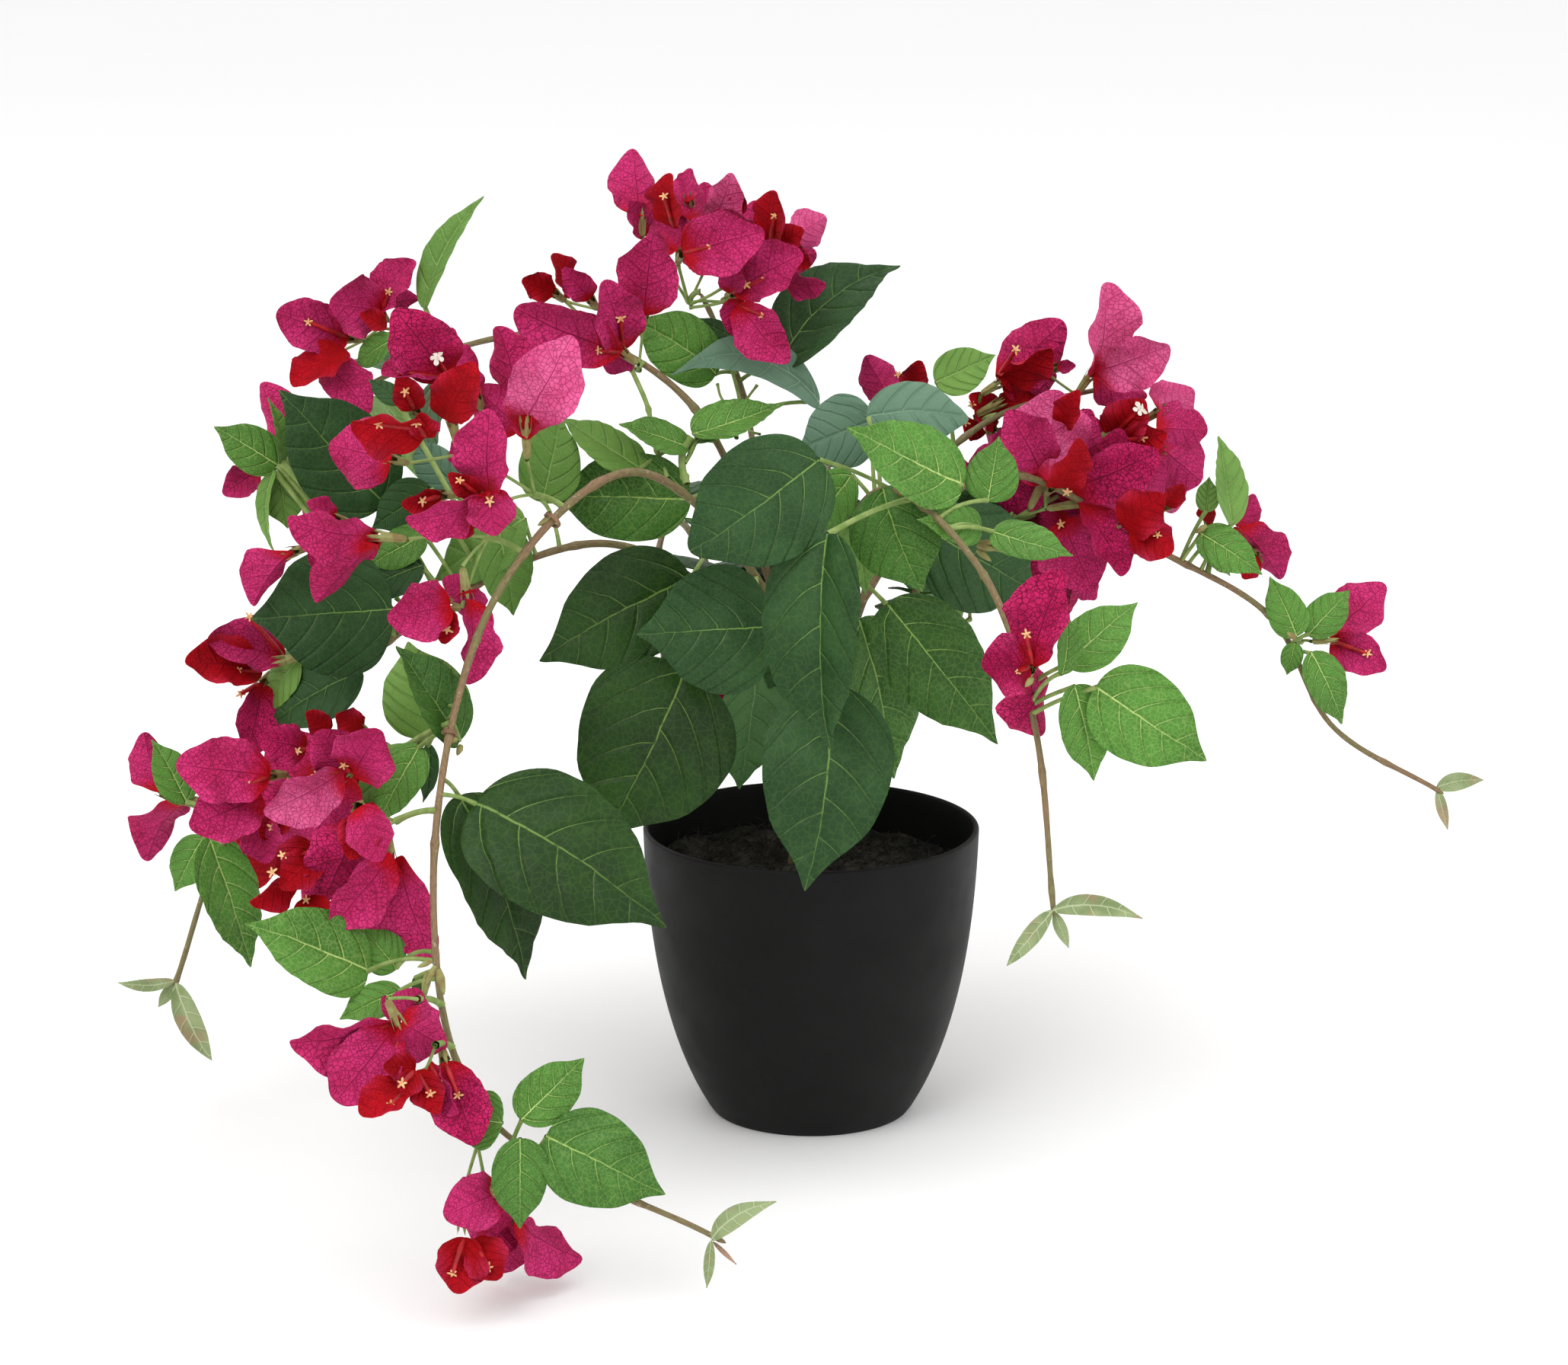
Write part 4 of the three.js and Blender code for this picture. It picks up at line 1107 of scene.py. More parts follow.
# Buds and scales at the joints: foot and tip in the frame, how far back they lie, and radius.
BUDS = (
    (1283, 716, 1308, 722, -64, 1.5), (1283, 722, 1302, 737, -64, 1.4), (1286, 712, 1322, 712, -64, 1.1),
    (1290, 716, 1337, 728, -64, 1.0), (1276, 712, 1262, 700, -64, 1.3), (562, 1276, 556, 1312, -226, 1.5),
    (575, 1272, 583, 1306, -228, 1.7), (572, 1268, 560, 1292, -228, 1.3), (566, 1262, 548, 1270, -226, 1.1),
    (600, 972, 584, 968, -150, 1.4), (606, 978, 600, 992, -150, 1.2), (722, 680, 706, 690, -88, 1.2),
    (1584, 690, 1570, 700, 60, 1.3), (1700, 838, 1690, 830, 64, 1.3), (1356, 890, 1346, 902, -166, 1.2),
)
# Rings of wire that tie a spray to the front left stem: column, row, how far back and radius.
WIRE_RINGS = ((720, 674, -86, 3.6), (604, 975, -150, 2.6))
WIRE_TURNS = 2.1  # turns of a ring's wire

STALK_SWELL = 0.35  # how much thicker a stalk is at its ends

# A leaf or bract that is seen slim is taken to be a broader one, rolled on its length.
LEAF_BREADTH = 0.62  # least width of a leaf, as a share of its length
SLIM_BREADTH = 0.34  # the same of a slim leaf
SLIM_SEEN = 0.3  # a leaf seen slimmer than this is a slim one
ROLL_SHARE = 0.9  # how much of the roll that would explain the slim view is taken
LEAST_GAP = 2.5  # a leaf nearer to a stem than this has no stalk
LONG_GAP = 45.0  # a leaf further from a stem than this has a stout stalk

# Shares along a flower's tube, a calyx and a bud, with the radii there. A bud's are shares of its own radius.
FLOWER_TUBE = (0, 0.3, 0.8, 1), (0.8, 1.25, 0.9, 1.15)
CALYX = (0, 0.12, 0.5, 0.85, 1), (0.1, 1.4, 1.7, 1.9, 2.5)
BUD = (0, 0.35, 0.8, 1), (0.7, 1.2, 0.7, 0.1)
STAR_RINGS = (0.06, 0.4, 0.7, 0.9, 1.0)  # rings of a flower's star, as shares of its radius
STAR_LOBES = 5
STAR_POINTS = 40
GROWN_STAR_POINTS = 20  # of a star that the front hides
WHITE_STAR_RADIUS = 3.4
STAR_GIRTH, STAR_REACH = 12.0, 3.0  # a star's size on the bake map

HUB_BACK = 12.0  # how far behind a spray's place its stalks meet
CALYX_BACK = 2.0  # how far behind it its calyces lie
BRACT_BACK = 14.0  # how far behind it its hindmost bract lies
BRACT_STEP = 2.6  # how far each further bract comes forward at the most
SPRAY_DEPTH = 34.0  # how far its bracts come forward in all, at the most
SHORT_VIEW = 14.0  # a bract seen shorter than this is a small one
BRACT_BREADTH = 0.62  # least width of a bract, as a share of its length
STAR_LIFT = 3.5  # how far a star stands off its bract
CALYX_REACH = 15.0  # bracts with their feet nearer than this share a calyx
CALYX_LENGTH = 12.0

FLOWER_BRACTS = 3  # bracts to a grown flower
TRUSS_FLOWERS = 3  # flowers that are tried at the end of a grown twig
TWIG_STEP = 7  # points of a stem from one side twig to the next
TWIG_TRIES = 14  # directions that are tried for a side twig
NO_FLOWERS = 2.0  # where a stem's flowers start, if it has none


def toward_camera(place):
    """The direction from a place to the camera."""
    return unit(CAMERA_PLACE - place)


def add_stalk(start, end, leave, radius):
    """A thin stalk that swells a little at both ends."""
    line = bent_line(start, end, leave)
    t = np.linspace(0, 1, len(line))
    add_tube(TWIGS, line, radius * (1 + STALK_SWELL * (2 * t - 1) ** 4), TWIG_SLOT, sides=7)


def add_seen_leaf(sheaf, row, form):
    """The leaf of a row, turned so that it shows its width, with its stalk from the nearest stem."""
    leaf = Leaf(*row)
    form = ROUND_FORM if leaf.round else form
    foot = seen(leaf.foot_x, leaf.foot_y, leaf.back)
    tip = seen(leaf.tip_x, leaf.tip_y, leaf.back + leaf.lead)
    length = float(np.linalg.norm(tip - foot))
    shown = leaf.width * frame_scale(foot)
    breadth = LEAF_BREADTH if shown > SLIM_SEEN * length else SLIM_BREADTH
    true = shown if form is YOUNG_FORM else max(shown, breadth * length)
    ahead = unit(tip - foot)
    facing = square_to(toward_camera(foot), ahead)
    level = np.cross(facing, ahead)
    roll = math.acos(min(shown / true, 1)) * ROLL_SHARE
    sense = math.copysign(1, level[2]) if abs(level[2]) > 0.15 else sheaf.random.choice((-1, 1))
    facing = facing * math.cos(roll) + level * sense * math.sin(roll)
    add_blade(sheaf, form, foot, tip, facing, true, LEAF_TONES[leaf.tone], UNDERSIDES[leaf.tone], leaf.fold,
              leaf.sway)
    if form is YOUNG_FORM:
        return
    joint = nearest_on_stems(foot)
    gap = float(np.linalg.norm(joint - foot))
    if gap > LEAST_GAP:
        leave = unit(foot - joint) + UP * 0.35 + ahead * 0.2
        add_stalk(joint, foot + ahead * 0.8, leave, 0.9 if gap < LONG_GAP else 1.2)


def add_flower(sheaf, foot, star_at, facing, white=False):
    """A flower's slim tube and, at its end, a small ragged star of five lobes."""
    rng = sheaf.random
    ahead = unit(star_at - foot)
    line = bent_line(foot + ahead * 1.5, star_at, ahead + facing * 0.5, 7)
    radii = np.interp(np.linspace(0, 1, 7), *FLOWER_TUBE)
    add_tube(sheaf, line, radii, TUBE_SLOT, sides=8, ribs=STAR_LOBES, rib_depth=0.12)
    look = unit(ahead * rng.uniform(0.2, 1.1) + facing)
    right = square_to(ahead, look)
    other = np.cross(look, right)
    count = STAR_POINTS if sheaf.shows else GROWN_STAR_POINTS
    angle = np.arange(count) / count * 2 * math.pi
    lobes = np.abs(np.cos(STAR_LOBES / 2 * angle)) ** (0.5 if white else 2.2)
    uneven = 1 + 0.2 * np.sin(angle * 2 + rng.uniform(0, ANY_TURN))
    lobe = 0.30 + 0.70 * lobes * uneven
    share = np.array(STAR_RINGS)[:, None]
    full_radius = WHITE_STAR_RADIUS if white else rng.uniform(1.9, 2.5)
    radius = full_radius * share * (1 + (lobe[None, :] - 1) * share)
    lift = 0.2 + 1.1 * share - rng.uniform(0.4, 1.6) * share**2
    points = (
        star_at + right * (np.cos(angle)[None, :] * radius)[:, :, None]
        + other * (np.sin(angle)[None, :] * radius)[:, :, None]
        + look * np.broadcast_to(lift, radius.shape)[:, :, None]
    )
    flat = unrolled(count, STAR_GIRTH, share * STAR_REACH)
    slot = WHITE_STAR_SLOT if white else STAR_SLOT
    sheaf.add(points, slot, flat, wrap=True)
    sheaf.add(points - look * 0.3 * (share[:, :, None] < 1), slot, flat, wrap=True, flip=True)


def add_calyx(start, mouth):
    """The ribbed calyx that holds a flower, with long teeth round its mouth."""
    line = bent_line(start, mouth, mouth - start, 9)
    radii = np.interp(np.linspace(0, 1, 9), *CALYX)
    add_tube(TWIGS, line, radii, CALYX_SLOT, sides=30, ribs=STAR_LOBES, rib_depth=0.15, teeth=5.0)


def add_seen_bract(sheaf, row, depth):
    """The bract of a row at this depth, with its flower if that is seen. Gives its foot and its heading."""
    rng = sheaf.random
    foot_x, foot_y, tip_x, tip_y, width, tone = row[:6]
    inner = len(row) > 6 or tone == "R" or rng.random() < 0.3
    foot = seen(foot_x, foot_y, depth)
    shown = float(np.linalg.norm(seen(tip_x, tip_y, depth) - foot))
    full_length = bpy.context.scene.bougainvillea_blossom.bract_length
    true = max(full_length, shown * 1.04) if shown > SHORT_VIEW else shown * 1.3
    lead = min(math.sqrt(max(true**2 - shown**2, 0)), 0.75 * shown)
    lead = -0.8 * lead if inner else 0.8 * lead
    tip = seen(tip_x, tip_y, depth + lead)
    ahead = unit(tip - foot)
    wide = width * frame_scale(foot) * 1.04
    full = max(wide, min(BRACT_BREADTH * float(np.linalg.norm(tip - foot)), wide * 1.8))
    facing = square_to(toward_camera(foot), ahead)
    level = np.cross(facing, ahead)
    roll = math.acos(min(wide / full, 1)) * rng.choice((-1, 1)) * ROLL_SHARE
    facing = facing * math.cos(roll) + level * math.sin(roll)
    facing = facing if inner else -facing
    slot = BRACT_TONES[tone]
    add_blade(sheaf, BRACT_FORM, foot, tip, facing, full, slot, slot, rng.uniform(4, 16))
    if len(row) > 6:
        star_x, star_y = row[6:8]
        reach = np.array([tip_x - foot_x, tip_y - foot_y], float)
        share = float(np.array([star_x - foot_x, star_y - foot_y]) @ reach / (reach @ reach))
        star = seen(star_x, star_y, depth + lead * min(max(share, 0), 1))
        star = star + toward_camera(star) * STAR_LIFT
        add_flower(sheaf, foot, star, toward_camera(star), len(row) > 8)
    return foot, ahead


def add_seen_spray(sheaf, spray):
    """A spray of flowers on thin stalks that meet at its hub."""
    hub = seen(*spray.hub, spray.back + HUB_BACK)
    joint = nearest_on_stems(hub)
    if np.linalg.norm(joint - hub) > 3:
        add_stalk(joint, hub, hub - joint + UP * 6, 1.3)
    mouths = []
    anchors = [hub]
    for start_x, start_y, mouth_x, mouth_y in spray.calyces:
        start = seen(start_x, start_y, spray.back + CALYX_BACK)
        anchors.append(start)
        mouths.append(seen(mouth_x, mouth_y, spray.back + CALYX_BACK))
        add_calyx(start, mouths[-1])
        add_stalk(hub, start, unit(start - hub) + UP * 0.2, 0.7)
    step = min(BRACT_STEP, SPRAY_DEPTH / len(spray.bracts))
    for k, row in enumerate(spray.bracts):
        foot, ahead = add_seen_bract(sheaf, row, spray.back + BRACT_BACK - step * k)
        if all(np.linalg.norm(foot - mouth) > CALYX_REACH for mouth in mouths):
            start = foot + unit(unit(hub - foot) * 0.5 - ahead * 0.4 + LOOK * 1.4) * CALYX_LENGTH
            anchor = min(anchors, key=lambda place: float(np.linalg.norm(place - start)))
            mouths.append(foot)
            anchors.append(start)
            add_calyx(start, foot + LOOK * 2)
            add_stalk(anchor, start, unit(start - anchor) + LOOK, 0.65)


def add_details():
    """The stalks, buds and wire rings at their places in the frame."""
    for radius, places in FRAME_STALKS:
        line = curve_through([seen(*place) for place in places], 2.0)
        joints = np.abs(np.sin(np.arange(len(line)) * 0.32))
        add_tube(TWIGS, line, radius * (0.88 + 0.35 * (joints < 0.15)), TWIG_SLOT, sides=9)
    for foot_x, foot_y, tip_x, tip_y, back, radius in BUDS:
        foot, tip = seen(foot_x, foot_y, back), seen(tip_x, tip_y, back - 2)
        t = np.linspace(0, 1, 9)
        line = foot + (tip - foot) * t[:, None]
        add_tube(TWIGS, line, radius * np.interp(t, *BUD), CALYX_SLOT, sides=10, ribs=4, rib_depth=0.15)
    for column, row, back, radius in WIRE_RINGS:
        route = ROUTES["front_left"]
        near = int(np.argmin(np.linalg.norm(route - seen(column, row, back), axis=1)))
        ahead = unit(route[near + 1] - route[near - 1])
        right = square_to(UP, ahead)
        other = np.cross(ahead, right)
        turn = np.linspace(0, WIRE_TURNS * 2 * math.pi, 80)[:, None]
        line = route[near] + (right * np.cos(turn) + other * np.sin(turn)) * radius + ahead * turn * 0.12
        add_tube(TWIGS, line, 0.55, WIRE_SLOT, sides=8, cut=40)


def bract_aims(axis, rng):
    """The ways that a flower's three bracts lean out, point and face, and their lengths."""
    right = square_to(UP + LOOK_RIGHT * 0.3, axis)
    other = np.cross(axis, right)
    start = rng.uniform(0, ANY_TURN)
    aims = []
    for k in range(FLOWER_BRACTS):
        turn = start + k * 2 * math.pi / FLOWER_BRACTS + rng.uniform(-0.2, 0.2)
        radial = right * math.cos(turn) + other * math.sin(turn)
        open_by = math.radians(rng.uniform(34, 62))
        ahead = axis * math.cos(open_by) + radial * math.sin(open_by)
        facing = axis * math.sin(open_by) - radial * math.cos(open_by)
        length = rng.uniform(34, 43)
        aims.append((radial, ahead, facing, length))
    return aims


def blade_probe(foot, tip, width):
    """Points on a blade that tell whether it can be seen."""
    across = unit(np.cross(tip - foot, LOOK)) * width * 0.55
    shares = [(u / 6, v / 2 * (1 if 0 < u < 6 else 0.3)) for u in range(-1, 8) for v in range(-2, 3)]
    return np.array([foot + (tip - foot) * u + across * v for u, v in shares])


def try_flower(blossom, hub, aim, rng):
    """A flower of three bracts on its stalk at the hub, if the front hides it."""
    axis = unit(aim)
    place = hub + axis * rng.uniform(9, 15)
    mouth = place + axis * 11
    aims = bract_aims(axis, rng)
    probes = [blade_probe(mouth, mouth + ahead * length, length * 0.7) for _, ahead, _, length in aims]
    if not hidden(np.concatenate([*probes, [hub, place, mouth]])):
        return False
    add_stalk(hub, place, aim + UP * 0.2, 0.8)
    add_calyx(place, mouth)
    for radial, ahead, facing, length in aims:
        foot = mouth + radial * 1.6
        slot = BRACT_TONES[rng.choice("PPDR")]
        width = length * rng.uniform(0.74, 0.9)
        add_blade(blossom, GROWN_BRACT_FORM, foot, foot + ahead * length, facing, width, slot, slot,
                  rng.uniform(4, 14))
        add_flower(blossom, foot, foot + ahead * length * 0.42 + facing * 3.5, facing)
    return True


def try_leaf(leaves, joint, outward, length, rng):
    """A leaf on its stalk that grows outward from a joint and hangs over, if the front hides it."""
    stalk = joint + unit(outward + UP * 0.5) * rng.uniform(8, 14)
    ahead = unit(outward + UP * rng.uniform(-0.9, 0.1))
    width = length * rng.uniform(0.66, 0.8)
    probe = blade_probe(stalk, stalk + ahead * length, width)
    if not hidden(np.concatenate([probe, [(joint + stalk) / 2, (joint + stalk * 3) / 4]])):
        return False
    add_stalk(joint, stalk, outward + UP, 0.9)
    facing = unit(UP + outward * 0.5 + np.array([rng.uniform(-0.3, 0.3), rng.uniform(-0.3, 0.3), 0]))
    tone = rng.choice("DDGGGB")
    add_blade(leaves, GROWN_LEAF_FORM, stalk, stalk + ahead * length, facing, width, LEAF_TONES[tone],
              UNDERSIDES[tone], rng.uniform(5, 14), rng.uniform(-0.04, 0.04), rng.uniform(0.04, 0.12))
    return True


def swung(heading, rise):
    """The direction with this heading and rise in radians."""
    level = math.cos(rise)
    return np.array([math.cos(heading) * level, math.sin(heading) * level, math.sin(rise)])


def grow_along(route, start, end, leaves, blossom, flowers_from, rng):
    """Side twigs by the golden angle along a stem: leaves first, then trusses of flowers."""
    first, last = (int(share * (len(route) - 1)) for share in (start, end))
    turn = rng.uniform(0, ANY_TURN)
    for k in range(first, last, TWIG_STEP):
        joint = route[k]
        ahead = unit(route[min(k + 1, len(route) - 1)] - route[k - 1])
        level = square_to(UP, ahead)
        other = np.cross(ahead, level)
        flowers = (k - first) / max(last - first, 1) >= flowers_from
        for _ in range(TWIG_TRIES):
            turn += GOLDEN_ANGLE
            out = unit(level * math.cos(turn) + other * math.sin(turn) + ahead * rng.uniform(0.1, 0.7))
            if flowers:
                hub = joint + out * rng.uniform(9, 20)
                made = 0
                for _ in range(TRUSS_FLOWERS):
                    aim = swung(rng.uniform(0, ANY_TURN), rng.uniform(-0.9, 0.9)) + out
                    made += try_flower(blossom, hub, aim, rng)
                if made:
                    add_stalk(joint, hub, out + UP * 0.3, 1.1)
                    break
            elif try_leaf(leaves, joint, out, rng.uniform(44, 66), rng):
                break


# ---------------------------------------------------------------- settings


class PotSettings(bpy.types.PropertyGroup):
    """Sizes of the pot."""

    height: bpy.props.FloatProperty(
        name="Height", description="Height of the pot", default=POT_HEIGHT / MM, unit="LENGTH", min=0.05,
        max=0.3)
    rim_radius: bpy.props.FloatProperty(
        name="Rim radius", description="Radius of the pot at its rim", default=POT_RIM / MM, unit="LENGTH",
        min=0.03, max=0.2)
    lip: bpy.props.FloatProperty(
        name="Lip", description="Rounding of the rim's edges", default=0.0011, unit="LENGTH", min=0.0,
        max=0.0013)
    plastic: bpy.props.FloatVectorProperty(
        name="Plastic", description="Colour of the pot", default=linear("0C0D0C")[:3], size=3, min=0.0,
        max=1.0, subtype="COLOR")


class StemSettings(bpy.types.PropertyGroup):
    """Sizes of the stems."""

    thick: bpy.props.FloatProperty(
        name="Radius at the trunk", description="Radius of a stem where it leaves the trunk", default=0.0020,
        unit="LENGTH", min=0.001, max=0.005)
    thin: bpy.props.FloatProperty(
        name="Radius at the tip", description="Radius of a stem at its tip", default=0.00115, unit="LENGTH",
        min=0.0005, max=0.003)
    node_gap: bpy.props.FloatProperty(
        name="Joint spacing", description="Distance between the swollen joints of a stem", default=0.046,
        unit="LENGTH", min=0.01, max=0.2)


class LeafSettings(bpy.types.PropertyGroup):
    """Look of the leaves."""

    dark: bpy.props.FloatVectorProperty(
        name="Dark leaf", description="Colour of the dark leaves", default=linear("2D5027")[:3], size=3,
        min=0.0, max=1.0, subtype="COLOR")
    bright: bpy.props.FloatVectorProperty(
        name="Bright leaf", description="Colour of the bright leaves", default=linear("508531")[:3], size=3,
        min=0.0, max=1.0, subtype="COLOR")
    roughness: bpy.props.FloatProperty(
        name="Roughness", description="Roughness of the silk leaves", default=0.5, min=0.0, max=1.0,
        subtype="FACTOR")
    seed: bpy.props.IntProperty(
        name="Seed", description="Seed of the leaves' small differences", default=7, min=0, max=999)


class BlossomSettings(bpy.types.PropertyGroup):
    """Look of the bracts."""

    rose: bpy.props.FloatVectorProperty(
        name="Rose bract", description="Colour of the rose bracts", default=linear("CA3070")[:3], size=3,
        min=0.0, max=1.0, subtype="COLOR")
    red: bpy.props.FloatVectorProperty(
        name="Red bract", description="Colour of the red bracts", default=linear("BC091C")[:3], size=3,
        min=0.0, max=1.0, subtype="COLOR")
    bract_length: bpy.props.FloatProperty(
        name="Bract length", description="Full length of a bract in millimetres", default=42.0, min=20.0,
        max=60.0)
    red_reach: bpy.props.FloatProperty(
        name="Red reach", description="How far along a bract its red foot reaches", default=0.36, min=0.0,
        max=1.0, subtype="FACTOR")
    seed: bpy.props.IntProperty(
        name="Seed", description="Seed of the bracts' small differences", default=23, min=0, max=999)


class StudioSettings(bpy.types.PropertyGroup):
    """Light and floor."""

    floor_colour: bpy.props.FloatVectorProperty(
        name="Floor colour", description="Colour of the floor", default=(0.96, 0.96, 0.96), size=3, min=0.0,
        max=1.0, subtype="COLOR")
    key_power: bpy.props.FloatProperty(
        name="Key light", description="Power of the main light in watts", default=30.0, min=0.0, max=500.0)


# ---------------------------------------------------------------- operators


def settle(made, nodes):
    """Ties a piece to the plant's body and hides the nodes that it stands for."""
    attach(made, "root")
    if nodes:
        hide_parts(*nodes)
    return made


class BOUGAINVILLEA_OT_pot(bpy.types.Operator):
    """Turn the matt plastic pot with its rounded rim"""

    bl_idname = "bougainvillea.pot"
    bl_label = "Pot"

    def execute(self, context):
        settings = context.scene.bougainvillea_pot
        height, rim, lip = settings.height * MM, settings.rim_radius * MM, settings.lip * MM
        t = np.linspace(0, 1, 30)[:, None]
        foot, belly, top = np.array([POT_FOOT, 0.0]), np.array(POT_BELLY), np.array([rim, height])
        side = (1 - t) ** 2 * foot + 2 * (1 - t) * t * belly + t**2 * top
        inner = side - np.array([POT_WALL, 0.0])
        inner = inner[inner[:, 1] > POT_FLOOR + 3][::-1]
        within = rim - POT_WALL
        turn = np.linspace(0, math.pi / 2, 6)[1:-1]
        outer_lip = [(rim - lip + lip * math.cos(a), height - lip + lip * math.sin(a)) for a in turn]
        inner_lip = [(within + lip - lip * math.sin(a), height - lip + lip * math.cos(a)) for a in turn]
        ring = POT_FOOT - POT_RING
        dish = [(reach, POT_DISH) for reach in (POT_CENTRE, POT_MIDDLE, ring)]
        foot_ring = [(ring + 1, 0.4), (ring + 2, 0.0), (POT_FOOT - 0.6, 0.0), (POT_FOOT - 0.15, 0.2)]
        profile = [*dish, *foot_ring, *side[1:-1], (rim, height - lip), *outer_lip, (rim - lip, height),
                   (within + lip, height), *inner_lip, (within, height - lip), *inner[1:],
                   (POT_MIDDLE, POT_FLOOR), (POT_CENTRE, POT_FLOOR)]
        sheaf = Sheaf(1)
        add_lathe(sheaf, profile, POT_SEGMENTS, 0, cut=22)
        for row in range(0, int(height), 3):
            wide = float(np.interp(row, side[:, 1], side[:, 0]))
            cover(np.stack([np.linspace(-wide, wide, 60), np.zeros(60), np.full(60, row)], axis=1))
        settle(sheaf.mesh_object("moulded_pot", [pot_finish()]), ["pot"])
        return {"FINISHED"}


class BOUGAINVILLEA_OT_moss(bpy.types.Operator):
    """Heap the dyed moss in the pot, with its loose fibres"""

    bl_idname = "bougainvillea.moss"
    bl_label = "Moss"

    def execute(self, context):
        rng = Random(5)
        sheaf = Sheaf(5)
        edge = POT_RIM - POT_WALL - MOSS_GAP
        waves = [(rng.uniform(0.05, 0.4), rng.uniform(0, ANY_TURN), rng.uniform(0, ANY_TURN))
                 for _ in range(MOSS_WAVES)]

        def height(x, y):
            z = MOSS_LEVEL + MOSS_CROWN * np.exp(-(x**2 + y**2) / MOSS_CROWN_REACH**2)
            for often, heading, phase in waves:
                wave = np.sin((x * math.cos(heading) + y * math.sin(heading)) * often + phase)
                z = z + wave * 0.16 / (0.25 + often)
            return z

        radius = np.linspace(0.6, edge, MOSS_RINGS)[:, None]
        angle = (np.arange(MOSS_AROUND) / MOSS_AROUND * 2 * math.pi)[None, :]
        x, y = radius * np.cos(angle), radius * np.sin(angle)
        top = np.stack([x, y, height(x, y)], axis=2)
        girth = 2 * math.pi * edge * MOSS_MEAN
        sheaf.add(top, 0, unrolled(MOSS_AROUND, girth, radius), wrap=True)
        depth = np.linspace(0, 9, 4)[:, None]
        skirt = np.stack(np.broadcast_arrays(x[-1:], y[-1:], top[-1:, :, 2] - depth), axis=2)
        sheaf.add(skirt, 0, unrolled(MOSS_AROUND, girth, depth), wrap=True)
        for _ in range(MOSS_FIBRES):
            reach = edge * math.sqrt(rng.uniform(0.02, 0.97))
            turn = rng.uniform(0, ANY_TURN)
            place = np.array([reach * math.cos(turn), reach * math.sin(turn), 0.0])
            place[2] = height(place[0], place[1]) - 0.6
            heading = rng.uniform(0, ANY_TURN)
            out = np.array([math.cos(heading), math.sin(heading), rng.uniform(0.1, 0.9)])
            end = place + unit(out) * rng.uniform(3, 10)
            if math.hypot(end[0], end[1]) > edge - 0.4:
                continue
            bow = np.array([rng.uniform(-2, 2), rng.uniform(-2, 2), rng.uniform(0.5, 2)])
            middle = (place + end) / 2 + bow
            t = np.linspace(0, 1, 5)[:, None]
            line = (1 - t) ** 2 * place + 2 * (1 - t) * t * middle + t**2 * end
            if math.hypot(middle[0], middle[1]) < edge - 0.6:
                add_tube(sheaf, line, np.linspace(0.34, 0.12, 5), 0, sides=4)
        settle(sheaf.mesh_object("moss_bed", [moss_finish()]), ["moss_fill"])
        return {"FINISHED"}


class BOUGAINVILLEA_OT_stems(bpy.types.Operator):
    """Raise the trunk and bend the wired stems out of it"""

    bl_idname = "bougainvillea.stems"
    bl_label = "Trunk and stems"

    def execute(self, context):
        settings = context.scene.bougainvillea_stems
        bark = stem_finish()
        trunk = Sheaf(3)
        height = np.linspace(TRUNK_FOOT - 2, TRUNK_TOP, 40)
        share = (height - height[0]) / (height[-1] - height[0])
        radii = TRUNK_RADIUS + TRUNK_TAPER * (1 - share) + TRUNK_FLARE * np.exp(-share * 9)
        line = np.stack([np.zeros_like(height), np.zeros_like(height), height], axis=1)
        add_tube(trunk, line, radii, 0, sides=TRUNK_SIDES, ribs=TRUNK_WIRES, rib_depth=0.09, spin=0.012)
        rise = np.linspace(0, TRUNK_CAP, 6)
        cap = np.stack([np.zeros_like(rise), np.zeros_like(rise), TRUNK_TOP + rise], axis=1)
        radii = TRUNK_RADIUS * np.sqrt(np.linspace(1, 0.01, 6))
        add_tube(trunk, cap, radii, 0, sides=TRUNK_SIDES, ribs=TRUNK_WIRES, rib_depth=0.09)
        settle(trunk.mesh_object("trunk", [bark]), ["main_stem"])
        stems = Sheaf(4)
        for name, route in ROUTES.items():
            if name == "top":
                route = route[:int(len(route) * TOP_STEM_SHARE)]
            run = np.arange(len(route)) * STEM_STEP
            share = run / run[-1]
            radii = (settings.thick + (settings.thin - settings.thick) * share) * MM
            gap = settings.node_gap * MM
            off = (run + len(name) * 5) % gap
            off = np.minimum(off, gap - off)
            radii = radii * (1 + JOINT_SWELL * np.exp(-((off / JOINT_REACH) ** 2)))
            radii = radii * (1 + 0.03 * np.sin(run * 0.37))
            add_tube(stems, route, radii, 0, sides=STEM_SIDES, ribs=4, rib_depth=0.05, spin=0.02, cut=28)
            start, ahead = route[-1], unit(route[-1] - route[-2])
            bud = start + ahead * np.linspace(0, 3, 5)[:, None]
            add_tube(stems, bud, radii[-1] * np.sqrt(np.linspace(1, 0.02, 5)), 0, sides=STEM_SIDES)
        nodes = [f"{name}_stem_{k + 1}" for name, count in STEM_PIECES.items() for k in range(count)]
        settle(stems.mesh_object("wired_stems", [bark]), nodes)
        return {"FINISHED"}


class BOUGAINVILLEA_OT_leaves(bpy.types.Operator):
    """Set the silk leaves on their stalks"""

    bl_idname = "bougainvillea.leaves"
    bl_label = "Leaves"

    def execute(self, context):
        finishes = leaf_finishes()
        seed = context.scene.bougainvillea_leaves.seed
        for number, (name, rows) in enumerate(LEAVES.items()):
            sheaf = Sheaf(seed + number, True)
            young = name == "young_leaves"
            for row in rows:
                add_seen_leaf(sheaf, row, YOUNG_FORM if young else LEAF_FORM)
            made = sheaf.mesh_object(name, finishes)
            settle(made, LEAF_NODES[name])
        return {"FINISHED"}


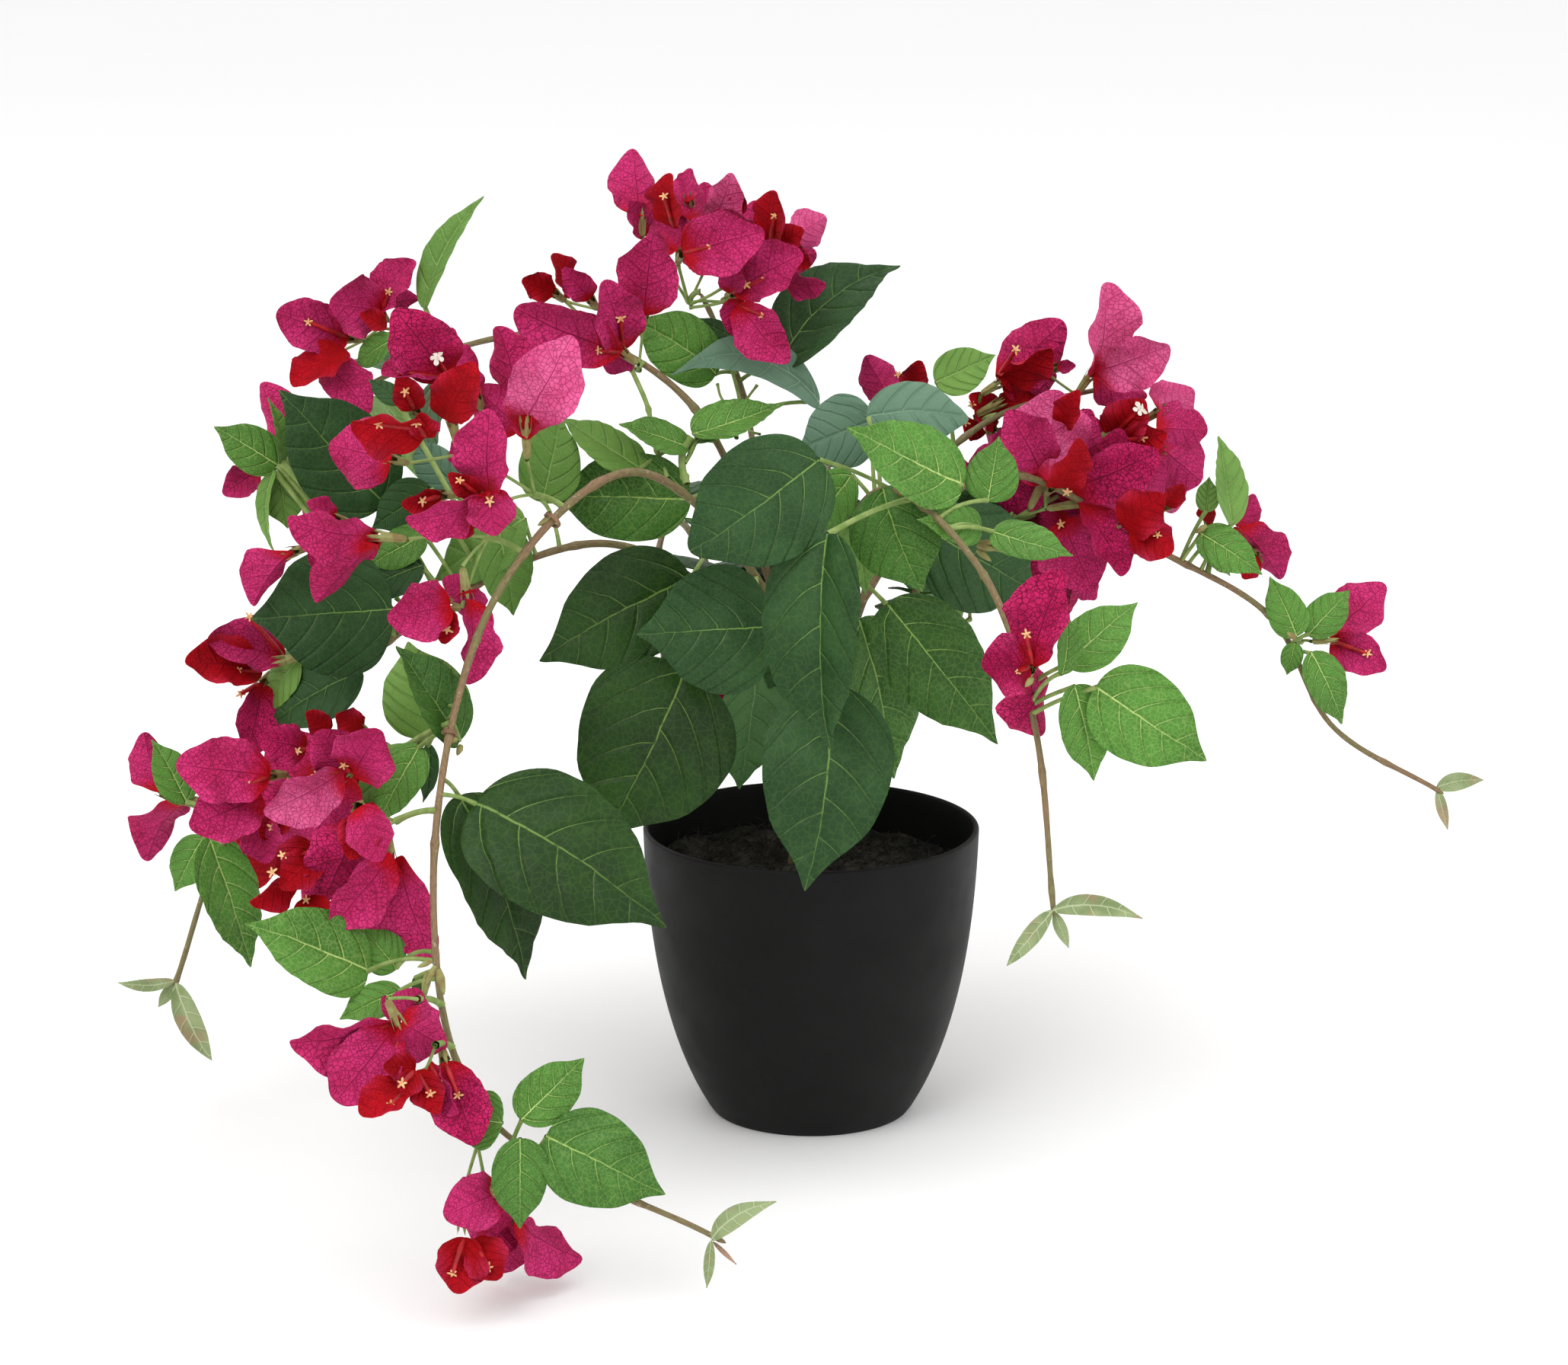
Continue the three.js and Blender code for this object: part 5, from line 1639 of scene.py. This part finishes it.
class BOUGAINVILLEA_OT_blossom(bpy.types.Operator):
    """Set the sprays of bracts with their small flowers"""

    bl_idname = "bougainvillea.blossom"
    bl_label = "Blossom"

    def execute(self, context):
        finishes = bract_finishes()
        seed = context.scene.bougainvillea_blossom.seed
        sheaves = {}
        for number, (name, sprays) in enumerate(SPRAYS.items()):
            sheaf = sheaves[name] = Sheaf(seed + number, True)
            for spray in sprays:
                add_seen_spray(sheaf, spray)
        for name, sheaf in sheaves.items():
            sheaf.shows = False
            rng = sheaf.random
            for spray in SPRAYS[name]:
                hub = seen(*spray.hub, spray.back)
                for row in spray.bracts:
                    behind = seen(row[0], row[1], spray.back + 26)
                    aim = swung(rng.uniform(0, math.pi), rng.uniform(-0.7, 0.7)) + LOOK * 0.3
                    if try_flower(sheaf, behind, aim, rng):
                        add_stalk(hub, behind, LOOK, 0.9)
            settle(sheaf.mesh_object(name, finishes), BRACT_NODES[name])
        return {"FINISHED"}


class BOUGAINVILLEA_OT_rear_twigs(bpy.types.Operator):
    """Grow the leafy and flowering twigs at the back and inside"""

    bl_idname = "bougainvillea.rear_twigs"
    bl_label = "Twigs at the back"

    def execute(self, context):
        rng = Random(53)
        leaves, blossom = Sheaf(51), Sheaf(52)
        for name, flowers_from in (("rear", 0.5), ("rear_right", 0.55), ("rear_left", NO_FLOWERS)):
            for _ in range(2):
                grow_along(ROUTES[name], 0.3, 1.0, leaves, blossom, flowers_from, rng)
            for _ in range(3):
                grow_along(ROUTES[name], 0.3, 1.0, leaves, None, NO_FLOWERS, rng)
        made = leaves.mesh_object("rear_foliage", leaf_finishes())
        settle(made, LEAF_NODES["rear_foliage"])
        made = blossom.mesh_object("rear_blossom_sprays", bract_finishes())
        settle(made, BRACT_NODES["rear_blossom"])
        inner = Sheaf(54)
        for name, route in ROUTES.items():
            if not name.startswith("rear"):
                grow_along(route, 0.22, 0.9, inner, None, NO_FLOWERS, rng)
        settle(inner.mesh_object("inner_foliage", leaf_finishes()), None)
        return {"FINISHED"}


class BOUGAINVILLEA_OT_stalks(bpy.types.Operator):
    """Join the leaf stalks, flower stalks and calyces"""

    bl_idname = "bougainvillea.stalks"
    bl_label = "Stalks"

    def execute(self, context):
        if not TWIGS.points:
            raise RuntimeError("The leaves and the blossom come before their stalks")
        stalk = plain_finish("stalk_green", "93A763", "76904A", 0.6, 160.0, Specular_IOR_Level=0.2)
        calyx = plain_finish("calyx_green", "95985F", "86744A", 0.65, 200.0, Specular_IOR_Level=0.15)
        wire = plain_finish("wire_coating", "8F6E52", "775A42", 0.5, 200.0, Specular_IOR_Level=0.3)
        add_details()
        settle(TWIGS.mesh_object("stalks", [stalk, calyx, wire]), None)
        return {"FINISHED"}


class BOUGAINVILLEA_OT_stage(bpy.types.Operator):
    """Lay the pale floor, hang the soft lights and set the camera"""

    bl_idname = "bougainvillea.stage"
    bl_label = "Stage"

    def execute(self, context):
        scene = context.scene
        settings = scene.bougainvillea_studio
        mesh = bpy.data.meshes.new("studio_floor")
        half = 9.0
        corners = [(-half, -half, 0), (half, -half, 0), (half, half, 0), (-half, half, 0)]
        mesh.from_pydata(corners, [], [(0, 1, 2, 3)])
        floor = bpy.data.objects.new("studio_floor", mesh)
        scene.collection.objects.link(floor)
        finish = Finish("studio_floor_paint", Specular_IOR_Level=0.1)
        tint = tuple(settings.floor_colour)
        shade = tuple(c * 0.985 for c in tint)
        cloud = finish.noise(finish.place(), scale=3.0, detail=2.0)
        mesh.materials.append(finish.finish(finish.blend(cloud, (*shade, 1), (*tint, 1)), 0.9))
        floor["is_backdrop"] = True
        world = bpy.data.worlds.new("studio_world")
        world.use_nodes = True
        world.node_tree.nodes["Background"].inputs["Color"].default_value = (1, 1, 1, 1)
        world.node_tree.nodes["Background"].inputs["Strength"].default_value = 0.98
        scene.world = world
        # Each lamp's name, place and size in metres, and power in watts.
        lamps = (
            ("key", (-1.3, -1.9, 2.3), 2.2, settings.key_power),
            ("fill", (1.8, -1.5, 1.3), 2.4, settings.key_power * 0.35),
            ("top", (0.1, 0.8, 2.6), 2.6, settings.key_power * 0.5),
        )
        for name, place, size, power in lamps:
            light = bpy.data.lights.new(f"{name}_light", "AREA")
            light.shape = "DISK"
            light.size = size
            light.energy = power
            lamp = bpy.data.objects.new(f"{name}_light", light)
            lamp.location = place
            aim = Vector((0, 0, 0.2)) - Vector(place)
            lamp.rotation_euler = aim.to_track_quat("-Z", "Y").to_euler()
            scene.collection.objects.link(lamp)
        data = bpy.data.cameras.new("camera")
        data.lens = CAMERA_LENS
        data.sensor_width = SENSOR_WIDTH
        data.clip_end = 50
        camera = bpy.data.objects.new("camera", data)
        camera.location = CAMERA_PLACE / MM
        camera.rotation_euler = (math.pi / 2 - CAMERA_PITCH, 0, 0)
        scene.collection.objects.link(camera)
        scene.camera = camera
        scene.view_settings.view_transform = "Standard"
        return {"FINISHED"}


OPERATORS = (
    BOUGAINVILLEA_OT_pot,
    BOUGAINVILLEA_OT_moss,
    BOUGAINVILLEA_OT_stems,
    BOUGAINVILLEA_OT_leaves,
    BOUGAINVILLEA_OT_blossom,
    BOUGAINVILLEA_OT_rear_twigs,
    BOUGAINVILLEA_OT_stalks,
    BOUGAINVILLEA_OT_stage,
)
SETTINGS = {
    "bougainvillea_pot": PotSettings,
    "bougainvillea_stems": StemSettings,
    "bougainvillea_leaves": LeafSettings,
    "bougainvillea_blossom": BlossomSettings,
    "bougainvillea_studio": StudioSettings,
}


class BOUGAINVILLEA_PT_panel(bpy.types.Panel):
    """The plant's sizes and the buttons that build its pieces"""

    bl_label = "Bougainvillea"
    bl_space_type = "VIEW_3D"
    bl_region_type = "UI"
    bl_category = "Bougainvillea"

    def draw(self, context):
        for name, group in SETTINGS.items():
            box = self.layout.box()
            for prop in group.__annotations__:
                box.prop(getattr(context.scene, name), prop)
        for operator in OPERATORS:
            self.layout.operator(operator.bl_idname)


def register():
    """Registers the settings, the operators and the panel."""
    for name, group in SETTINGS.items():
        bpy.utils.register_class(group)
        setattr(bpy.types.Scene, name, bpy.props.PointerProperty(type=group))
    for kind in (*OPERATORS, BOUGAINVILLEA_PT_panel):
        bpy.utils.register_class(kind)


def unregister():
    """Takes them all away again."""
    for kind in reversed((*OPERATORS, BOUGAINVILLEA_PT_panel)):
        bpy.utils.unregister_class(kind)
    for name, group in SETTINGS.items():
        delattr(bpy.types.Scene, name)
        bpy.utils.unregister_class(group)


def main():
    """Builds the plant on its stage."""
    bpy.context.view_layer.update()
    register()
    bpy.ops.bougainvillea.pot()
    bpy.ops.bougainvillea.moss()
    bpy.ops.bougainvillea.stems()
    bpy.ops.bougainvillea.leaves()
    bpy.ops.bougainvillea.blossom()
    bpy.ops.bougainvillea.rear_twigs()
    bpy.ops.bougainvillea.stalks()
    bpy.ops.bougainvillea.stage()


if __name__ == "__main__":
    main()
